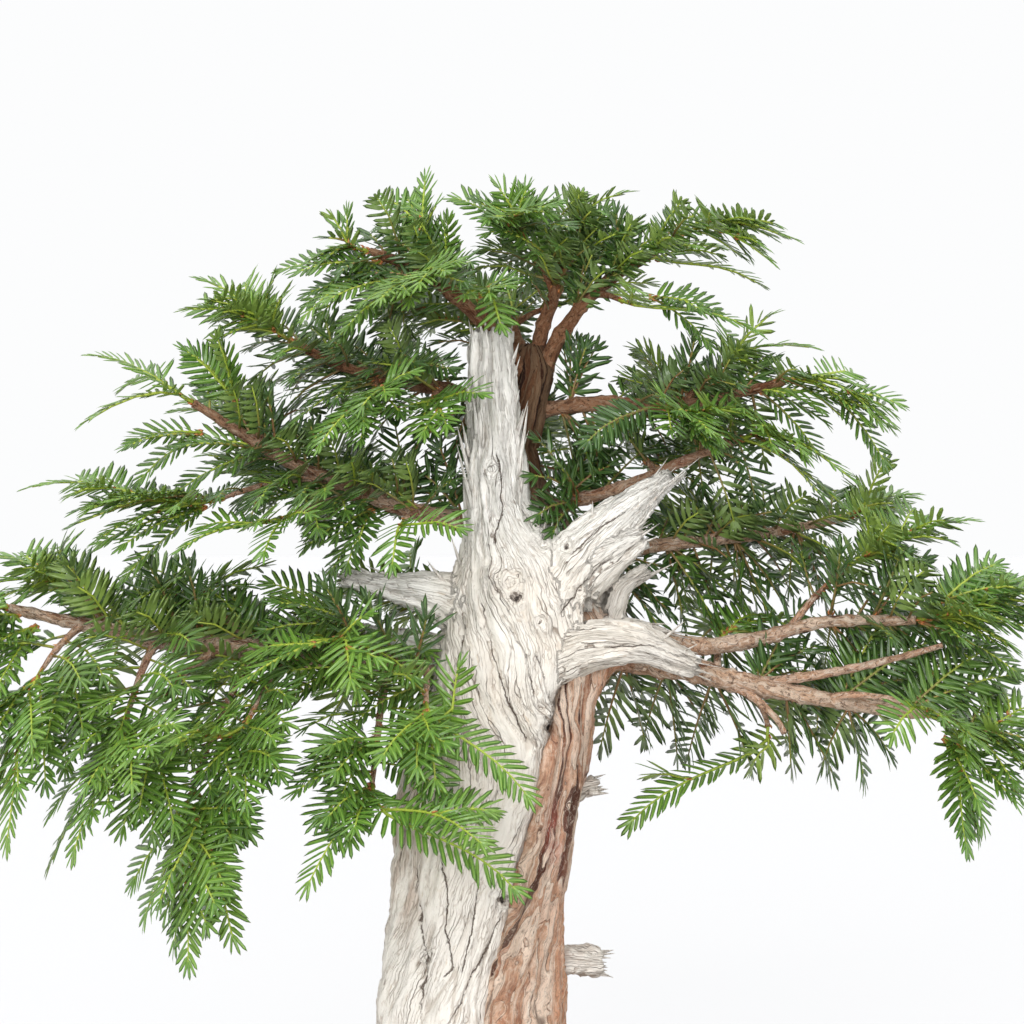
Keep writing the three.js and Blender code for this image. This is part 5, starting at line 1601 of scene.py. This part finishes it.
def make_pot():
    """Brown stoneware: the wall and four feet."""
    body = Body()
    body.add(*pot_shell())
    for sx in (-1, 1):
        for sy in (-1, 1):
            rings = [
                rounded(0, z, (32 - spread, 15 - min(spread, 5) * 0.4), 5, 48) + (sx * FOOT_X, sy * FOOT_Y, 0)
                for z, spread in ((0, 5.4), (0.35, 4.4), (1.2, 3.6), (4, 1.8), (9.5, 0), (13, 0))
            ]
            body.add(*loft(np.stack(rings)))
    n = Nodes("brown_stoneware")
    where = n.where()
    clay, grit = n.noise(where, (9, 9, 16), 5, 0.6), n.noise(where, 700, 4, 0.7)
    colour = n.ramp(clay, [
        (0.3, (0.115, 0.062, 0.042)), (0.5, (0.165, 0.088, 0.06)), (0.7, (0.215, 0.125, 0.085)),
    ])
    colour = n.coats(
        colour,
        (grit, (0.6, 0.72, 0, 0.5), (0.36, 0.24, 0.17)),
        (grit, (0.28, 0.4, 0.55, 0.0), (0.05, 0.028, 0.02)),
    )
    # Lime from the water, low down
    lime = n.range(n.noise(where, (40, 40, 60), 4), 0.45, 0.7, 0, 0.4)
    lime = n.times(n.range(n.parts(where)[2], 0.0, 0.03, 1, 0), lime)
    colour = n.blend(lime, colour, (0.42, 0.37, 0.31))
    wheel = n.noise(where, (5, 5, 420), 3, 0.5)
    height = n.plus(n.times(grit, 0.5), n.times(wheel, 0.5))
    made = n.finish(colour, n.range(clay, 0.3, 0.7, 0.5, 0.68), n.bump(height, 0.0006, 0.7))
    place(body.build("stoneware_pot", [made]), "stoneware", "pot")


def soil_height(x, y):
    """Rises from the rim to the trunk's foot."""
    reach = np.maximum(np.abs(x / 182), np.abs(y / 128))
    share = 1 - np.clip(reach, 0, 1)
    base = SOIL_EDGE + SOIL_RISE * np.sin(np.clip(share * 1.15, 0, 1) * math.pi / 2)
    p = np.stack([x, y, 0 * x], 1)
    return base + layers(p / 34, 3, 320) * 2.0


def scattered(random, count, half, corner):
    """Random places on a rectangle, and how far each lies in its border."""
    places = [random.uniform(-side, side, count) for side in half]
    past = [np.maximum(np.abs(place) - (side - corner), 0) for place, side in zip(places, half)]
    return *places, np.hypot(*past)


def make_soil(random):
    """The soil's body, and grains that lie on it."""
    rings = [rounded(i, z) for i, z in ((31, 20.6), (26.6, 21.6), (24, 27), (22, 34), (19.8, 54), (18.2, 70))]
    for share in np.linspace(0, 0.97, 40):
        ring = rounded(17.6, 0) * (1 - share) + np.array([-15, 4, 0]) * share
        ring[:, 2] = soil_height(ring[:, 0], ring[:, 1]) - 1.2 * smooth(-share, -0.05, 0)
        rings.append(ring)
    points, faces = loft(np.stack(rings))
    body = Body()
    body.add(points, faces, (0.3, 0, 0, 0))
    x, y, outside = scattered(random, GRAIN_COUNT, (181, 127), 17)
    x, y = x[outside < 17], y[outside < 17]
    count = len(x)
    size = random.uniform(1.5, 3.6, count) * random.uniform(0.7, 1, count)
    turn = random.uniform(0, 6.28, (count, 3))
    shape = GRAIN_POINTS[None] * random.uniform(0.65, 1.2, (count, 12, 1))
    shape = shape * random.uniform(0.7, 1.2, (count, 1, 3)) * size[:, None, None]
    c, s = np.cos(turn[:, :1]), np.sin(turn[:, :1])
    px = shape[..., 0] * c - shape[..., 1] * s
    py = shape[..., 0] * s + shape[..., 1] * c
    pz = shape[..., 2] + (soil_height(x, y) + 0.2 * size)[:, None]
    marks = np.zeros((count, 12, 4))
    for k in range(2):
        marks[..., k] = random.uniform(0, 1, count)[:, None]
    body.add_copies(np.stack([px + x[:, None], py + y[:, None], pz], -1), [GRAIN_FACES], marks)
    n = Nodes("granular_soil")
    kind = n.marks()[0]
    grit = n.noise(n.where(), 500, 4, 0.7)
    colour = n.ramp(kind, [
        (0.0, (0.055, 0.032, 0.02)), (0.35, (0.13, 0.075, 0.042)), (0.6, (0.22, 0.135, 0.075)),
        (0.8, (0.11, 0.09, 0.075)), (0.97, (0.33, 0.29, 0.24)),
    ])
    colour = n.coats(colour, (grit, (0.3, 0.7, 0, 0.5), (0.045, 0.03, 0.02)))
    made = n.finish(colour, 0.95, n.bump(grit, 0.0008, 0.8))
    place(body.build("soil_surface", [made]), "soil", "soil")


def make_moss(random):
    """Cushions of moss on the soil, each a low cone with five sides."""
    x, y, outside = scattered(random, TUFT_COUNT, (178, 124), 16)
    cover = layers(np.stack([x / 46, y / 46, 0 * x], 1), 3, 350)
    keep = (cover > 0.02) & (outside < 15)
    x, y, cover = x[keep], y[keep], cover[keep]
    count = len(x)
    z = soil_height(x, y) + np.clip(cover * 9, 0, 3.5)
    spin = random.uniform(0, 6.28, count)
    wide, tall = random.uniform(2.0, 4.0, count), random.uniform(1.8, 3.2, count)
    ring = []
    for k in range(5):
        turn = spin + k * 2 * math.pi / 5
        ring.append(np.stack([x + wide * np.cos(turn), y + wide * np.sin(turn), z - 2.6], 1))
    lean = random.uniform(-0.8, 0.8, (count, 2))
    top = np.stack([x + lean[:, 0], y + lean[:, 1], z + tall], 1)
    marks = np.zeros((count, 6, 4))
    marks[:, 5, 0] = 1
    marks[..., 1] = random.uniform(0, 1, count)[:, None]
    body = Body()
    faces = [[[k, (k + 1) % 5, 5] for k in range(5)], [[4, 3, 2, 1, 0]]]
    body.add_copies(np.stack([*ring, top], 1), faces, marks)
    n = Nodes("moss")
    high, chance, _, _ = n.marks()
    grit = n.noise(n.where(), 900, 4, 0.7)
    colour = n.blend(high, (0.025, 0.05, 0.01), n.blend(chance, (0.10, 0.19, 0.02), (0.19, 0.27, 0.04)))
    colour = n.coats(colour, (grit, (0.35, 0.7, 0, 0.5), (0.03, 0.07, 0.01)))
    made = n.finish(colour, 0.9, n.bump(grit, 0.001, 1.0))
    place(body.build("moss_cushions", [made]), "soil")


# Camera, floor and light
def make_studio():
    scene = bpy.context.scene
    camera = bpy.data.objects.new("camera", bpy.data.cameras.new("camera"))
    camera.data.lens = 36 * CAMERA_AWAY / SEEN_WIDTH
    camera.data.sensor_width = 36
    camera.data.clip_start, camera.data.clip_end = 0.05, 60
    camera.location, camera.rotation_euler = (0, -CAMERA_AWAY * MM, CAMERA_HIGH * MM), (math.pi / 2, 0, 0)
    scene.collection.objects.link(camera)
    scene.camera = camera

    mesh = bpy.data.meshes.new("floor")
    turn = np.linspace(0, 2 * math.pi, 96, endpoint=False)
    mesh.from_pydata([(40 * math.cos(t), 40 * math.sin(t), 0) for t in turn], [], [list(range(96))])
    floor = bpy.data.objects.new("floor", mesh)
    scene.collection.objects.link(floor)
    mesh.materials.append(Nodes("pale_floor").finish((0.645, 0.645, 0.65, 1), 0.9, None, 0.1))

    world = bpy.data.worlds.new("studio")
    scene.world = world
    world.use_nodes = True
    backdrop = next(n for n in world.node_tree.nodes if n.type == "BACKGROUND")
    backdrop.inputs["Color"].default_value = (0.975, 0.98, 0.985, 1)
    backdrop.inputs["Strength"].default_value = 1.0
    for name, towards, strength, soft in (
        ("key", (0.55, 0.75, -0.95), 1.05, 25), ("fill", (-0.7, 0.5, -0.5), 0.4, 60),
        ("top", (0.05, -0.2, -1), 0.6, 50), ("front", (0.12, 1, -0.12), 1.8, 30),
    ):
        lamp = bpy.data.lights.new(name, "SUN")
        lamp.energy, lamp.angle = strength, math.radians(soft)
        light = bpy.data.objects.new(name, lamp)
        light.rotation_euler = Vector(towards).to_track_quat("-Z", "Y").to_euler()
        scene.collection.objects.link(light)
    scene.view_settings.view_transform = "Standard"


make_studio()
make_deadwood()
make_living_wood()
make_leafage()
make_pot()
scatter = np.random.default_rng(7)
make_soil(scatter)
make_moss(scatter)
